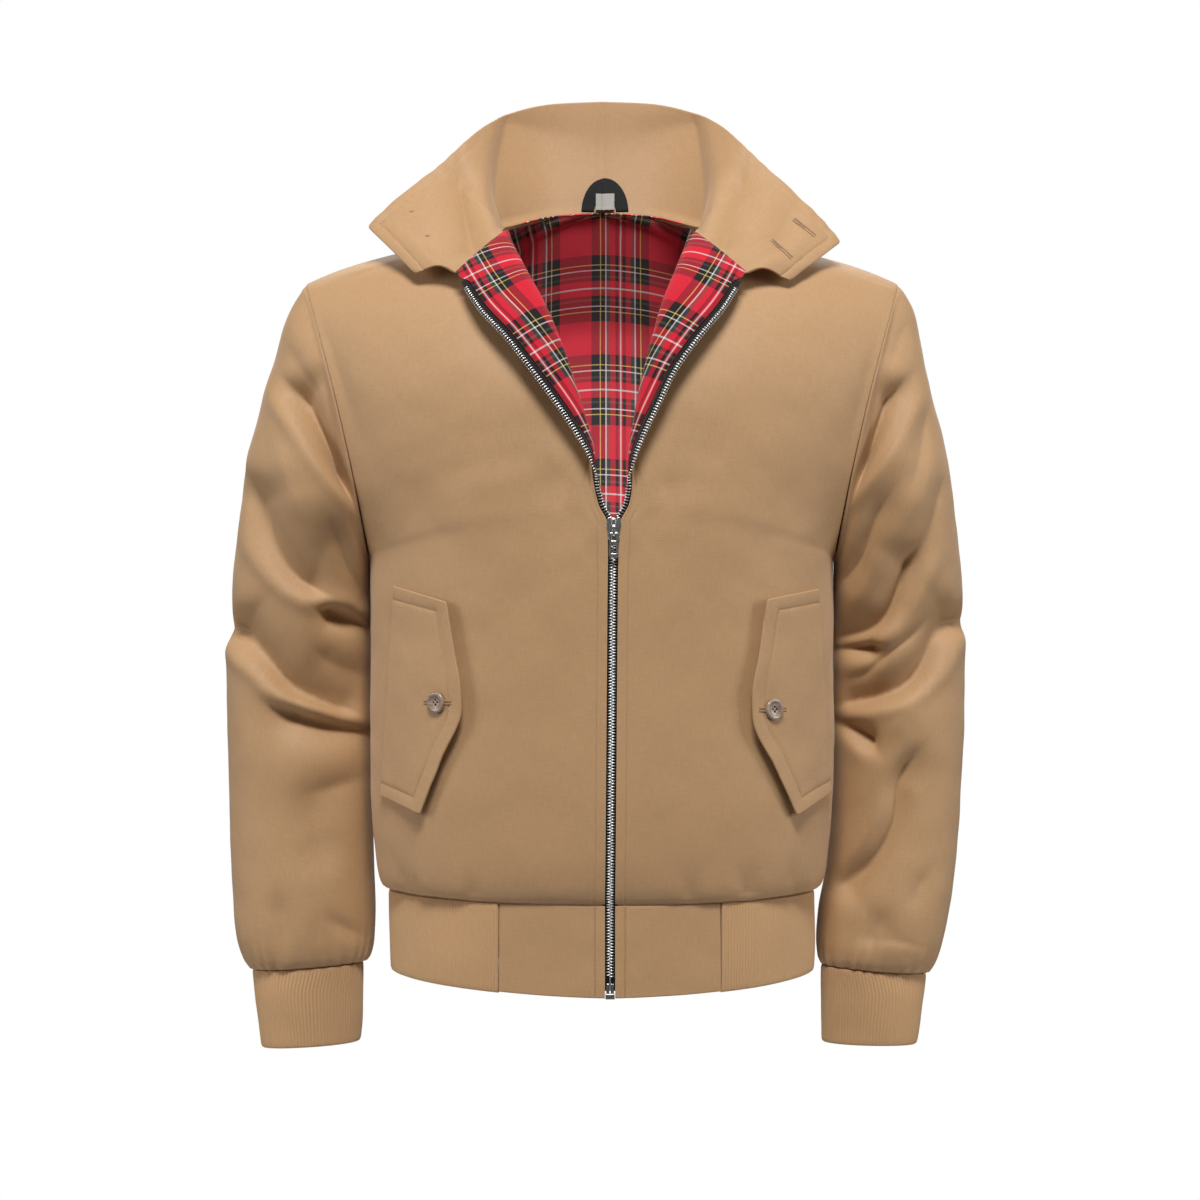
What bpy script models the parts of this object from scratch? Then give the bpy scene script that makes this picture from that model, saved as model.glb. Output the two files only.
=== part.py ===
"""Harrington jacket: a zipped, waist-length blouson with a stand collar, a checked lining, two buttoned
pocket flaps and ribbed cuffs and hem, held in the rounded form that it has when it is worn.

Every panel of cloth is an open surface lofted through rows, and Solidify gives it its wall. A row runs across
the body as one cubic curve, from the front edge or the centre back out to the side seam, armhole or shoulder.
+X is the wearer's left, -Y the front and +Z up. The origin is at the neck, level with the shoulders' inner ends,
where the wearer's shoulders carry the jacket.
"""

import math

import bmesh
import bpy
from mathutils import Vector
from mathutils.bvhtree import BVHTree

MM = 0.001

# Walls
SHELL_WALL = 1.5 * MM
LINING_WALL = 1.0 * MM
COLLAR_WALL = 2.2 * MM
RIB_WALL = 2.4 * MM
TAPE_WALL = 0.9 * MM
FLAP_WALL = 2.0 * MM
LAYER_GAP = 0.6 * MM
LINING_GAP = 1.6 * MM
BACK_LINING_GAP = 3.0 * MM

# Half of the gap that each panel leaves at a seam; a seam that turns a corner needs more, or the walls meet inside
FLAT_SEAM = 0.16 * MM
SIDE_SEAM = 0.4 * MM
SHOULDER_SEAM = 0.8 * MM
ARMHOLE_SEAM = 0.75 * MM
LINING_INSET = 3.0 * MM
SHELL_SEAMS = (FLAT_SEAM, SIDE_SEAM, SHOULDER_SEAM, ARMHOLE_SEAM, FLAT_SEAM)
LINING_SEAMS = (LINING_INSET, LINING_INSET, LINING_INSET, LINING_INSET, 0.6 * MM)

# The zip
ZIP_HALF = 4.2 * MM
CHAIN_GAP = 0.3 * MM
TAPE_UNDER = 2.0 * MM
TAPE_TO_LINING = 1.0 * MM

# Where a panel's rows pass from one boundary to the next, as a share of its height
UNDERARM_AT = 0.42
ROLL_TOP_AT = 0.93
NECK_BACK_AT = 0.82

# The armhole: a ring in a plane that leans outwards at the top
SHOULDER_POINT = Vector((0.2545, 0.0, -0.0690))
UNDERARM_POINT = Vector((0.1985, 0.0, -0.305))
ARMHOLE_HOLLOW = 5.5 * MM
ARMHOLE_FRONT = 0.064
ARMHOLE_BACK = 0.066


class Table:
    """Rows of named numbers. at() reads every column between two rows on a smooth curve that never overshoots."""

    def __init__(self, columns, rows):
        self.names = columns.split()
        self.rows = rows

    def at(self, position):
        places = [row[0] for row in self.rows]
        columns = list(zip(*self.rows))
        values = [smooth(places, column, position) for column in columns[1:]]
        return dict(zip(self.names[1:], values))


def smooth(places, values, place):
    """The monotone cubic curve through (places, values), read at one place."""
    place = min(max(place, places[0]), places[-1])
    i = max(k for k in range(len(places) - 1) if places[k] <= place)
    step = places[i + 1] - places[i]
    rise = (values[i + 1] - values[i]) / step

    def slope(k):
        if k in (0, len(places) - 1):
            return rise
        before = (values[k] - values[k - 1]) / (places[k] - places[k - 1])
        after = (values[k + 1] - values[k]) / (places[k + 1] - places[k])
        if before * after <= 0:
            return 0.0
        return 2 * before * after / (before + after)

    t = (place - places[i]) / step
    ease = t * t * (3 - 2 * t)
    start = step * slope(i) * t * (1 - t) ** 2
    end = step * slope(i + 1) * t * t * (t - 1)
    return values[i] + (values[i + 1] - values[i]) * ease + start + end


# The side seam, hem to underarm
SIDE = Table("at x z", [
    (0.000, 0.1830, -0.5870),
    (0.012, 0.1885, -0.5835),
    (0.030, 0.1925, -0.5730),
    (0.060, 0.1950, -0.5530),
    (0.120, 0.1975, -0.5100),
    (0.250, 0.1990, -0.4200),
    (0.420, 0.1985, -0.3050),
])

# The front's inner boundary: the topstitching by the zip, then the line on which the front rolls open, then the
# neck. middle is the closure's own X, half the distance from it; turn, drop and reach shape the row's start.
FRONT_IN = Table("at middle half y z turn drop reach", [
    (0.00, 0.0066, 0.0110, -0.1240, -0.5910, 0.00, 0.00, 0.110),
    (0.03, 0.0067, 0.0110, -0.1290, -0.5780, 0.00, 0.00, 0.115),
    (0.08, 0.0070, 0.0110, -0.1335, -0.5500, 0.00, 0.00, 0.118),
    (0.18, 0.0075, 0.0110, -0.1360, -0.4900, 0.00, 0.00, 0.120),
    (0.30, 0.0082, 0.0110, -0.1360, -0.4000, 0.00, 0.00, 0.120),
    (0.42, 0.0090, 0.0110, -0.1380, -0.3100, 0.00, 0.00, 0.120),
    (0.47, 0.0096, 0.0114, -0.1380, -0.2780, 0.00, 0.00, 0.118),
    (0.50, 0.0096, 0.0165, -0.1378, -0.2620, -0.01, 0.02, 0.114),
    (0.53, 0.0090, 0.0185, -0.1373, -0.2473, -0.02, 0.04, 0.111),
    (0.57, 0.0081, 0.0184, -0.1362, -0.2320, -0.04, 0.06, 0.107),
    (0.60, 0.0077, 0.0192, -0.1348, -0.2170, -0.05, 0.08, 0.103),
    (0.635, 0.0068, 0.0240, -0.1322, -0.1965, -0.08, 0.10, 0.097),
    (0.67, 0.0053, 0.0305, -0.1290, -0.1720, -0.10, 0.12, 0.092),
    (0.74, 0.0035, 0.0435, -0.1180, -0.1293, -0.13, 0.15, 0.082),
    (0.81, 0.0011, 0.0551, -0.1030, -0.0950, -0.12, 0.17, 0.074),
    (0.87, -0.0010, 0.0690, -0.0820, -0.0645, -0.06, 0.20, 0.066),
    (0.93, -0.0025, 0.0830, -0.0470, -0.0316, 0.00, 0.26, 0.058),
    (1.00, 0.0000, 0.0865, 0.0110, -0.0060, 0.00, 0.28, 0.060),
])

# The line on which the two halves of the zip's chain meet, from its own X: it closes up to the slider, and above
# that each half lies out on its front, turned over with the lining outwards. curl is the size of the turn's roll.
CHAIN = Table("at middle half y z curl", [
    (0.00, 0.0066, 0.0000, -0.1240, -0.5910, 0.0030),
    (0.03, 0.0067, 0.0000, -0.1290, -0.5780, 0.0030),
    (0.08, 0.0070, 0.0000, -0.1335, -0.5500, 0.0030),
    (0.18, 0.0075, 0.0000, -0.1360, -0.4900, 0.0030),
    (0.30, 0.0082, 0.0000, -0.1360, -0.4000, 0.0030),
    (0.42, 0.0090, 0.0000, -0.1380, -0.3100, 0.0030),
    (0.47, 0.0096, 0.0008, -0.1381, -0.2780, 0.0030),
    (0.50, 0.0096, 0.0084, -0.1394, -0.2620, 0.0030),
    (0.53, 0.0092, 0.0126, -0.1430, -0.2475, 0.0018),
    (0.57, 0.0087, 0.0175, -0.1462, -0.2340, 0.0015),
    (0.60, 0.0083, 0.0207, -0.1468, -0.2230, 0.0020),
    (0.635, 0.0070, 0.0283, -0.1460, -0.2065, 0.0030),
    (0.67, 0.0049, 0.0415, -0.1440, -0.1830, 0.0045),
    (0.74, 0.0011, 0.0618, -0.1400, -0.1500, 0.0060),
    (0.81, 0.0004, 0.0802, -0.1330, -0.1253, 0.0060),
    (0.87, -0.0006, 0.1008, -0.1185, -0.1012, 0.0060),
    (0.93, -0.0008, 0.1206, -0.0945, -0.0690, 0.0060),
])

# The back's inner boundary: the centre back, then the neck
BACK_IN = Table("at x y z turn drop reach", [
    (0.00, 0.0000, 0.0990, -0.5870, 0.00, 0.00, 0.105),
    (0.03, 0.0000, 0.1050, -0.5750, 0.00, 0.00, 0.110),
    (0.08, 0.0000, 0.1100, -0.5500, 0.00, 0.00, 0.112),
    (0.18, 0.0000, 0.1120, -0.4900, 0.00, 0.00, 0.115),
    (0.30, 0.0000, 0.1120, -0.4000, 0.00, 0.00, 0.115),
    (0.42, 0.0000, 0.1220, -0.3150, 0.00, 0.00, 0.115),
    (0.52, 0.0000, 0.1320, -0.2350, 0.00, 0.00, 0.112),
    (0.62, 0.0000, 0.1360, -0.1650, 0.00, 0.02, 0.108),
    (0.70, 0.0000, 0.1290, -0.1050, 0.00, 0.05, 0.100),
    (0.76, 0.0000, 0.1060, -0.0550, 0.00, 0.10, 0.090),
    (0.82, 0.0000, 0.0725, -0.0005, 0.04, 0.16, 0.080),
    (0.88, 0.0420, 0.0650, -0.0005, 0.10, 0.24, 0.070),
    (0.94, 0.0730, 0.0410, -0.0030, 0.06, 0.30, 0.058),
    (1.00, 0.0865, 0.0110, -0.0060, 0.00, 0.28, 0.060),
])

# How a row ends at the side: the angle that it has turned away from X, its fall, and its reach, front and back
ROW_END = Table("at angle fall front back", [
    (0.00, 90.0, 0.0, 0.070, 0.058),
    (0.42, 90.0, 0.0, 0.076, 0.070),
    (0.47, 80.0, 0.0, 0.072, 0.072),
    (0.53, 68.0, 0.0, 0.062, 0.070),
    (0.60, 55.0, 1.0, 0.055, 0.066),
    (0.67, 46.0, 3.0, 0.052, 0.062),
    (0.74, 38.0, 6.0, 0.050, 0.058),
    (0.81, 30.0, 10.0, 0.048, 0.055),
    (0.87, 22.0, 14.0, 0.048, 0.052),
    (0.93, 12.0, 23.0, 0.052, 0.054),
    (1.00, 0.0, 27.0, 0.060, 0.060),
])


def bezier(points, t):
    a, b, c, d = points
    s = 1 - t
    return a * s ** 3 + b * (3 * s * s * t) + c * (3 * s * t * t) + d * t ** 3


def armhole(turn, face):
    """A point of the wearer's left armhole: turn 0 is the underarm and 1 the shoulder; face -1 front, 1 back."""
    angle = math.pi * turn
    middle = (SHOULDER_POINT + UNDERARM_POINT) / 2
    rise = (SHOULDER_POINT - UNDERARM_POINT) / 2
    depth = ARMHOLE_FRONT if face < 0 else ARMHOLE_BACK
    bulge = math.sin(angle)
    return middle - rise * math.cos(angle) + Vector((-ARMHOLE_HOLLOW * bulge ** 2, face * depth * bulge, 0))


def outer_boundary(at, face):
    """The side seam up to the underarm, then the front or back half of the armhole up to the shoulder."""
    if at <= UNDERARM_AT:
        seam = SIDE.at(at)
        return Vector((seam["x"], 0, seam["z"]))
    return armhole((at - UNDERARM_AT) / (1 - UNDERARM_AT), face)


def row_end(at, face):
    """Where a row ends, and the handle of its curve there."""
    row = ROW_END.at(at)
    angle = math.radians(row["angle"])
    fall = math.radians(row["fall"])
    way = Vector((math.cos(angle) * math.cos(fall), -face * math.sin(angle), -math.sin(fall)))
    end = outer_boundary(at, face)
    return end, end - way.normalized() * row["front" if face < 0 else "back"]


def front_row(side, at):
    """The curve across one front at this height, from its roll line or zip edge (0) to the side (1)."""
    row = FRONT_IN.at(at)
    end, end_handle = row_end(at, -1)
    middle = row["middle"] * side
    start = Vector((row["half"] + middle, row["y"], row["z"]))
    way = Vector((1, row["turn"], -row["drop"])).normalized()
    return [mirrored(side, p) for p in (start, start + way * row["reach"], end_handle, end)]


def lapel_row(side, at):
    """The curve from the roll line (0) round to the middle of the zip's chain (1)."""
    start, handle = front_row(side, at)[:2]
    row = CHAIN.at(at)
    chain = Vector((row["half"] * side + row["middle"], row["y"], row["z"]))
    inwards = (start - handle).normalized() * row["curl"]
    forwards = Vector((0, min(0.0, chain.y - start.y), 0))
    return [start, start + inwards, start + inwards + forwards * 0.7, chain]


def back_row(side, at):
    """The curve across one half of the back, from the centre or the neck (0) to the side (1)."""
    row = BACK_IN.at(at)
    start = Vector((row["x"], row["y"], row["z"]))
    way = Vector((1, row["turn"], -row["drop"])).normalized()
    end, end_handle = row_end(at, 1)
    return [mirrored(side, p) for p in (start, start + way * row["reach"], end_handle, end)]


def mirrored(side, point):
    return Vector((point.x * side, point.y, point.z))


def steps(start, end, count):
    return [start + (end - start) * k / count for k in range(count + 1)]


def eased(count, power=1.0):
    """Shares from 0 to 1, closer together near 0 when power is over 1."""
    return [(k / count) ** power for k in range(count + 1)]


# ---------------------------------------------------------------------------------------------------------
# Large folds: soft troughs with a ridge on their lower side, placed by where they lie seen from the front
# ---------------------------------------------------------------------------------------------------------
FOLD_COLUMNS = "x0 z0 x1 z1 width depth"
SLEEVE_FOLDS = {
    # wearer's right: under the shoulder, over the elbow and into its crook
    (-1, -1): [
        (-0.275, -0.150, -0.215, -0.260, 0.016, 0.0075),
        (-0.308, -0.270, -0.225, -0.395, 0.020, 0.0075),
        (-0.322, -0.375, -0.215, -0.450, 0.018, 0.0080),
        (-0.300, -0.445, -0.205, -0.485, 0.016, 0.0060),
        (-0.290, -0.560, -0.225, -0.600, 0.016, 0.0030),
    ],
    # wearer's left
    (1, -1): [
        (0.262, -0.150, 0.218, -0.290, 0.016, 0.0070),
        (0.292, -0.270, 0.215, -0.385, 0.020, 0.0070),
        (0.304, -0.375, 0.208, -0.425, 0.017, 0.0075),
        (0.300, -0.430, 0.205, -0.500, 0.018, 0.0065),
        (0.290, -0.540, 0.215, -0.590, 0.018, 0.0030),
    ],
    # the backs of the sleeves
    (-1, 1): [
        (-0.285, -0.190, -0.225, -0.300, 0.018, 0.0050),
        (-0.312, -0.330, -0.225, -0.400, 0.020, 0.0055),
        (-0.312, -0.430, -0.220, -0.455, 0.018, 0.0050),
    ],
    (1, 1): [
        (0.275, -0.190, 0.222, -0.305, 0.018, 0.0050),
        (0.300, -0.340, 0.220, -0.395, 0.020, 0.0055),
        (0.298, -0.440, 0.215, -0.470, 0.018, 0.0050),
    ],
}


def trough(point, fold):
    """How deep one fold is at a point, by its distance from the fold's line."""
    x0, z0, x1, z1, width, depth = fold
    along = Vector((x1 - x0, z1 - z0))
    away = Vector((point.x - x0, point.z - z0))
    share = away.dot(along) / along.length_squared
    off = (away.x * along.y - away.y * along.x) / along.length
    if x1 < x0:
        off = -off
    ends = 1 / (1 + math.exp(-18 * share)) / (1 + math.exp(18 * (share - 1)))
    inner = math.exp(-((off / width) ** 2))
    ridge = 0.45 * math.exp(-(((off + 1.5 * width) / width) ** 2))
    return depth * ends * (inner - ridge)


def sink_folds(rings, side):
    """Moves the points of a sleeve's rings inwards along its folds."""
    sunk = []
    for ring in rings:
        middle = sum(ring, Vector()) / len(ring)
        moved = []
        for point in ring:
            out = (point - middle).normalized()
            depth = 0.0
            for face in (-1, 1):
                facing = max(0.0, face * out.y + 0.25) / 1.25
                depth += facing * sum(trough(point, fold) for fold in SLEEVE_FOLDS[side, face])
            moved.append(point - out * depth)
        sunk.append(moved)
    return sunk


# ---------------------------------------------------------------------------------------------------------
# Mesh helpers
# ---------------------------------------------------------------------------------------------------------
def clear_scene():
    for item in list(bpy.data.objects):
        bpy.data.objects.remove(item)


def new_collection(name):
    made = bpy.data.collections.new(name)
    bpy.context.scene.collection.children.link(made)
    return made


def new_material(name, colour, roughness, metallic=0.0):
    made = bpy.data.materials.new(name)
    made.use_nodes = True
    shader = made.node_tree.nodes["Principled BSDF"]
    shader.inputs["Base Color"].default_value = (*colour, 1)
    shader.inputs["Roughness"].default_value = roughness
    shader.inputs["Metallic"].default_value = metallic
    return made


def add_grid(mesh, grid, flip=False, closed=False):
    """Adds a grid of points, a list of rows, as quads. closed joins each row's end to its start."""
    verts = [[mesh.verts.new(point) for point in row] for row in grid]
    for low, high in zip(verts, verts[1:]):
        count = len(low)
        for k in range(count if closed else count - 1):
            n = (k + 1) % count
            corners = [low[k], low[n], high[n], high[k]]
            mesh.faces.new(corners[::-1] if flip else corners)
    return verts


def finished(mesh, name, material, weld=0.00002):
    """Turns a bmesh into a smooth-shaded object of the jacket."""
    if weld:
        bmesh.ops.remove_doubles(mesh, verts=mesh.verts, dist=weld)
    data = bpy.data.meshes.new(name)
    mesh.to_mesh(data)
    mesh.free()
    data.shade_smooth()
    made = bpy.data.objects.new(name, data)
    made.data.materials.append(material)
    JACKET.objects.link(made)
    return made


def solidify(item, wall):
    """Gives an open surface its wall, inwards from the face that shows."""
    modifier = item.modifiers.new("wall", "SOLIDIFY")
    modifier.thickness = wall
    modifier.offset = -1
    modifier.use_even_offset = False
    modifier.use_rim = True
    return item


def surface_normals(grid, flip):
    """The outward normal at each point of a grid, from its neighbours."""
    normals = []
    for i, row in enumerate(grid):
        line = []
        for k, _ in enumerate(row):
            across = row[min(k + 1, len(row) - 1)] - row[max(k - 1, 0)]
            up = grid[min(i + 1, len(grid) - 1)][k] - grid[max(i - 1, 0)][k]
            line.append(across.cross(up).normalized() * (-1 if flip else 1))
        normals.append(line)
    return normals


def sunk(grid, depth, flip):
    """The grid moved inwards by depth."""
    normals = surface_normals(grid, flip)
    return [[p - n * depth for p, n in zip(row, line)] for row, line in zip(grid, normals)]


def shortened(row, start=0.0, end=0.0):
    """A row of points with its ends drawn in along it by these distances."""
    cut = list(row)
    for order, distance in ((1, start), (-1, end)):
        cut = cut[::order]
        left = distance
        while left > 0 and len(cut) > 2 and (cut[1] - cut[0]).length <= left:
            # keep the count of points: slide the end onto its neighbour and that one a little further on
            left = 0.6 * (cut[1] - cut[0]).length
        if left > 0:
            cut[0] = cut[0] + (cut[1] - cut[0]).normalized() * left
        cut = cut[::order]
    return cut


def trimmed(grid, bottom=0.0, top=0.0, start=0.0, end=0.0):
    """A grid drawn in from its four edges."""
    rows = [shortened(row, start, end) for row in grid]
    columns = [shortened(list(column), bottom, top) for column in zip(*rows)]
    return [list(row) for row in zip(*columns)]


# ---------------------------------------------------------------------------------------------------------
# Panels
# ---------------------------------------------------------------------------------------------------------
LOWER_ROWS = [0.0, 0.012, 0.03, 0.06, 0.11, 0.17, 0.24, 0.31, 0.37, 0.42]
UPPER_ROWS = [0.45, 0.475, 0.50, 0.53, 0.57, 0.60, 0.635, 0.67, 0.715, 0.76, 0.81, 0.87, 0.93]
NECK_ROWS = [0.965, 1.0]
FRONT_SHARES = eased(10)
STRIP_SHARES = [0.0, 0.3, 0.6, 0.8, 0.9, 0.96, 1.0]
DENSE = steps(0, 1, 40)


def strip_part(row, start, shares):
    """The turned-out part of a row, from start short of the chain's middle to the roll line."""
    whole = length_of(row)
    return [resampled(row, start + (whole - start) * share, 0, 2)[0] for share in shares]


def front_grids(side, depth=0.0):
    """The front's two dense grids, sunk by depth: the turned-out strip, chain to roll line, and the panel itself."""
    rows = LOWER_ROWS + UPPER_ROWS
    strip_grid = [[bezier(lapel_row(side, at), 1 - t) for t in DENSE] for at in rows]
    body = [[bezier(front_row(side, at), t) for t in FRONT_SHARES] for at in rows]
    whole = [edge[:-1] + row for edge, row in zip(strip_grid, body)]
    neck = [whole[-1][len(DENSE) - 1:]]
    neck += [[bezier(front_row(side, at), t) for t in FRONT_SHARES] for at in NECK_ROWS]
    if depth:
        whole = sunk(whole, depth, side < 0)
        neck = [whole[-1][len(DENSE) - 1:]] + sunk(neck, depth, side < 0)[1:]
    return [row[:len(DENSE)] for row in whole], [row[len(DENSE) - 1:] for row in whole], neck


def front_cloth(side, name, material, wall, depth, edge, seams, rows=1, columns=1):
    """One front or its lining. edge is its distance from the chain's middle, and seams its gaps at the rest."""
    seam, flank, shoulder, arm, neckline_gap = seams
    strip_grid, body, neck = front_grids(side, depth)
    strip_grid = [strip_part(row, edge, STRIP_SHARES) for row in strip_grid]
    whole = [a[:-1] + b[::columns] for a, b in zip(strip_grid, body)]
    below = LOWER_ROWS.index(UNDERARM_AT)
    whole = [shortened(row, 0, flank if k <= below else arm) for k, row in enumerate(whole)]
    whole = trimmed(whole, bottom=seam)
    whole = [row for k, row in enumerate(whole) if k >= below or k % rows == 0]
    neck = [whole[-1][len(STRIP_SHARES) - 1:]] + [shortened(row[::columns], neckline_gap, arm) for row in neck[1:]]
    neck = trimmed(neck, top=shoulder)
    strip_top = trimmed([row[:len(STRIP_SHARES)] for row in whole[-2:]], top=neckline_gap)[-1]
    whole[-1] = strip_top[:-1] + whole[-1][len(STRIP_SHARES) - 1:]
    mesh = bmesh.new()
    add_grid(mesh, whole, flip=side < 0)
    add_grid(mesh, neck, flip=side < 0)
    return solidify(finished(mesh, name, material), wall)


def resampled(row, start, end, count):
    """A row of points, drawn in at its ends, as count points evenly spaced along it."""
    lengths = [0.0]
    for a, b in zip(row, row[1:]):
        lengths.append(lengths[-1] + (b - a).length)
    made = []
    for place in steps(start, lengths[-1] - end, count - 1):
        i = max(k for k in range(len(row) - 1) if lengths[k] <= place or k == 0)
        share = (place - lengths[i]) / max(lengths[i + 1] - lengths[i], 1e-9)
        made.append(row[i].lerp(row[i + 1], share))
    return made


def length_of(line):
    return sum((b - a).length for a, b in zip(line, line[1:]))


def zip_tape(side, name):
    """The woven tape of one half of the zip, from the hem to the collar, and from the chain's middle inwards."""
    strip_grid, _, _ = front_grids(side, SHELL_WALL + LAYER_GAP)
    rows = [strip_part(row, CHAIN_GAP, [0.0])
            + [resampled(row, place, 0, 2)[0] for place in (ZIP_HALF, ZIP_HALF + TAPE_UNDER)] for row in strip_grid]
    rows[0] = [p + Vector((0, 1.6 * MM, 0)) for p in rows[0]]
    for at in (0.06, 0.5, 0.92):
        rows.insert(0, [band_point(side, at, place) for place in (CHAIN_GAP, ZIP_HALF, ZIP_HALF + TAPE_UNDER)])
    rows = trimmed(rows, top=2 * MM)
    mesh = bmesh.new()
    add_grid(mesh, rows, flip=side < 0)
    return solidify(finished(mesh, name, TAPE), TAPE_WALL)


BACK_ROWS_LOW = LOWER_ROWS + [0.47, 0.52, 0.57, 0.62, 0.66, 0.70, 0.74, 0.78, 0.82]
BACK_ROWS_NECK = [0.82, 0.85, 0.88, 0.94, 1.0]
BACK_SHARES = eased(10)


def back_grids():
    """The back below the neck as one grid from side to side, and its two shoulders above."""
    low = []
    for at in BACK_ROWS_LOW:
        right = [bezier(back_row(-1, at), t) for t in BACK_SHARES]
        left = [bezier(back_row(1, at), t) for t in BACK_SHARES]
        low.append(right[::-1] + left[1:])
    shoulders = {}
    for side in (-1, 1):
        shoulders[side] = [[bezier(back_row(side, at), t) for t in BACK_SHARES] for at in BACK_ROWS_NECK]
    return low, shoulders


def back_cloth(name, material, wall, depth, seams, rows=1, columns=1):
    """The back or its lining, which depth sinks below the shell's face."""
    seam, flank, shoulder, arm, neckline_gap = seams
    low, shoulders = back_grids()
    low = sunk(low, depth, True) if depth else low
    below = LOWER_ROWS.index(UNDERARM_AT)
    low = trimmed(low, bottom=seam)
    low = [shortened(row, *[flank if k <= below else arm] * 2) for k, row in enumerate(low)]
    low = [row[::columns] for k, row in enumerate(low) if k in (0, below, len(low) - 1) or k % rows == 0]
    middle = (len(BACK_SHARES) - 1) // columns
    mesh = bmesh.new()
    for side, upper in shoulders.items():
        upper = sunk(upper, depth, side > 0) if depth else upper
        row = low[-1][middle:] if side > 0 else low[-1][middle::-1]
        upper = [row] + [shortened(line[::columns], neckline_gap, arm) for line in upper[1:]]
        add_grid(mesh, trimmed(upper, top=shoulder), flip=side > 0)
    add_grid(mesh, low, flip=True)
    return solidify(finished(mesh, name, material), wall)


# ---------------------------------------------------------------------------------------------------------
# Sleeves and cuffs
# ---------------------------------------------------------------------------------------------------------
# Each ring by its outermost and innermost point seen from the front, and its middle and half depths in Y
SLEEVE_COLUMNS = "at out_x out_z in_x in_z y front back"
SLEEVES = {
    -1: Table(SLEEVE_COLUMNS, [
        (0.00, 0.2545, -0.0690, 0.1985, -0.3050, 0.000, 0.064, 0.066),
        (0.05, 0.2705, -0.0945, 0.1993, -0.3090, 0.001, 0.066, 0.068),
        (0.12, 0.2840, -0.1380, 0.1995, -0.3180, 0.004, 0.067, 0.069),
        (0.20, 0.2965, -0.1830, 0.1995, -0.3310, 0.009, 0.066, 0.068),
        (0.30, 0.3100, -0.2360, 0.1995, -0.3530, 0.017, 0.064, 0.066),
        (0.40, 0.3150, -0.2850, 0.1996, -0.3820, 0.024, 0.062, 0.064),
        (0.50, 0.3210, -0.3350, 0.1997, -0.4170, 0.029, 0.060, 0.062),
        (0.60, 0.3260, -0.3900, 0.1995, -0.4580, 0.031, 0.058, 0.060),
        (0.72, 0.3245, -0.4780, 0.1990, -0.5200, 0.030, 0.056, 0.057),
        (0.82, 0.3215, -0.5480, 0.1975, -0.5720, 0.026, 0.053, 0.054),
        (0.90, 0.3185, -0.6000, 0.1960, -0.6080, 0.020, 0.050, 0.051),
        (0.95, 0.3150, -0.6300, 0.1970, -0.6320, 0.016, 0.046, 0.047),
        (0.98, 0.3090, -0.6490, 0.2005, -0.6460, 0.014, 0.040, 0.041),
        (1.00, 0.3020, -0.6590, 0.2060, -0.6520, 0.013, 0.033, 0.034),
    ]),
    1: Table(SLEEVE_COLUMNS, [
        (0.00, 0.2545, -0.0690, 0.1985, -0.3050, 0.000, 0.064, 0.066),
        (0.05, 0.2690, -0.0965, 0.1993, -0.3090, 0.001, 0.066, 0.068),
        (0.12, 0.2810, -0.1500, 0.1995, -0.3180, 0.004, 0.067, 0.069),
        (0.20, 0.2920, -0.1970, 0.1995, -0.3310, 0.009, 0.066, 0.068),
        (0.30, 0.3015, -0.2450, 0.1995, -0.3530, 0.017, 0.064, 0.066),
        (0.40, 0.3095, -0.2920, 0.1996, -0.3820, 0.024, 0.062, 0.064),
        (0.50, 0.3140, -0.3400, 0.1997, -0.4170, 0.029, 0.060, 0.062),
        (0.60, 0.3150, -0.3950, 0.1995, -0.4580, 0.031, 0.058, 0.060),
        (0.72, 0.3130, -0.4780, 0.1985, -0.5200, 0.030, 0.056, 0.057),
        (0.82, 0.3080, -0.5520, 0.1935, -0.5740, 0.026, 0.053, 0.054),
        (0.90, 0.3015, -0.6030, 0.1870, -0.6080, 0.020, 0.050, 0.051),
        (0.95, 0.2950, -0.6360, 0.1850, -0.6330, 0.016, 0.046, 0.047),
        (0.98, 0.2880, -0.6530, 0.1860, -0.6470, 0.014, 0.040, 0.041),
        (1.00, 0.2800, -0.6620, 0.1895, -0.6545, 0.013, 0.033, 0.034),
    ]),
}
CUFFS = {
    -1: Table(SLEEVE_COLUMNS, [
        (0.00, 0.3015, -0.6591, 0.2065, -0.6521, 0.013, 0.0325, 0.0335),
        (1.00, 0.2925, -0.7245, 0.2085, -0.7190, 0.010, 0.0285, 0.0295),
    ]),
    1: Table(SLEEVE_COLUMNS, [
        (0.00, 0.2795, -0.6621, 0.1900, -0.6546, 0.013, 0.0325, 0.0335),
        (1.00, 0.2710, -0.7215, 0.1895, -0.7195, 0.010, 0.0285, 0.0295),
    ]),
}
SLEEVE_SIDES = 20
SLEEVE_STEPS = [0.0, 0.025, 0.06, 0.11, 0.16, 0.21, 0.26, 0.31, 0.355, 0.40, 0.445, 0.49, 0.54, 0.60, 0.67, 0.75,
                0.83, 0.90, 0.95, 0.98, 1.0]


def ring(table, side, at, angles):
    """One ring of a sleeve: angle 0 is its outer side, a quarter turn its front, a half turn its inner side."""
    row = table.at(at)
    outer = Vector((row["out_x"] * side, row["y"], row["out_z"]))
    inner = Vector((row["in_x"] * side, row["y"], row["in_z"]))
    middle, reach = (outer + inner) / 2, (outer - inner) / 2
    points = []
    for angle in angles:
        depth = row["front"] if math.sin(angle) > 0 else row["back"]
        hollow = ARMHOLE_HOLLOW * side * max(0.0, 1 - at / 0.3) * math.sin(angle) ** 2
        points.append(middle + reach * math.cos(angle) - Vector((hollow, depth * math.sin(angle), 0)))
    return points


def turns(count):
    return [2 * math.pi * k / count for k in range(count)]


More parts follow.
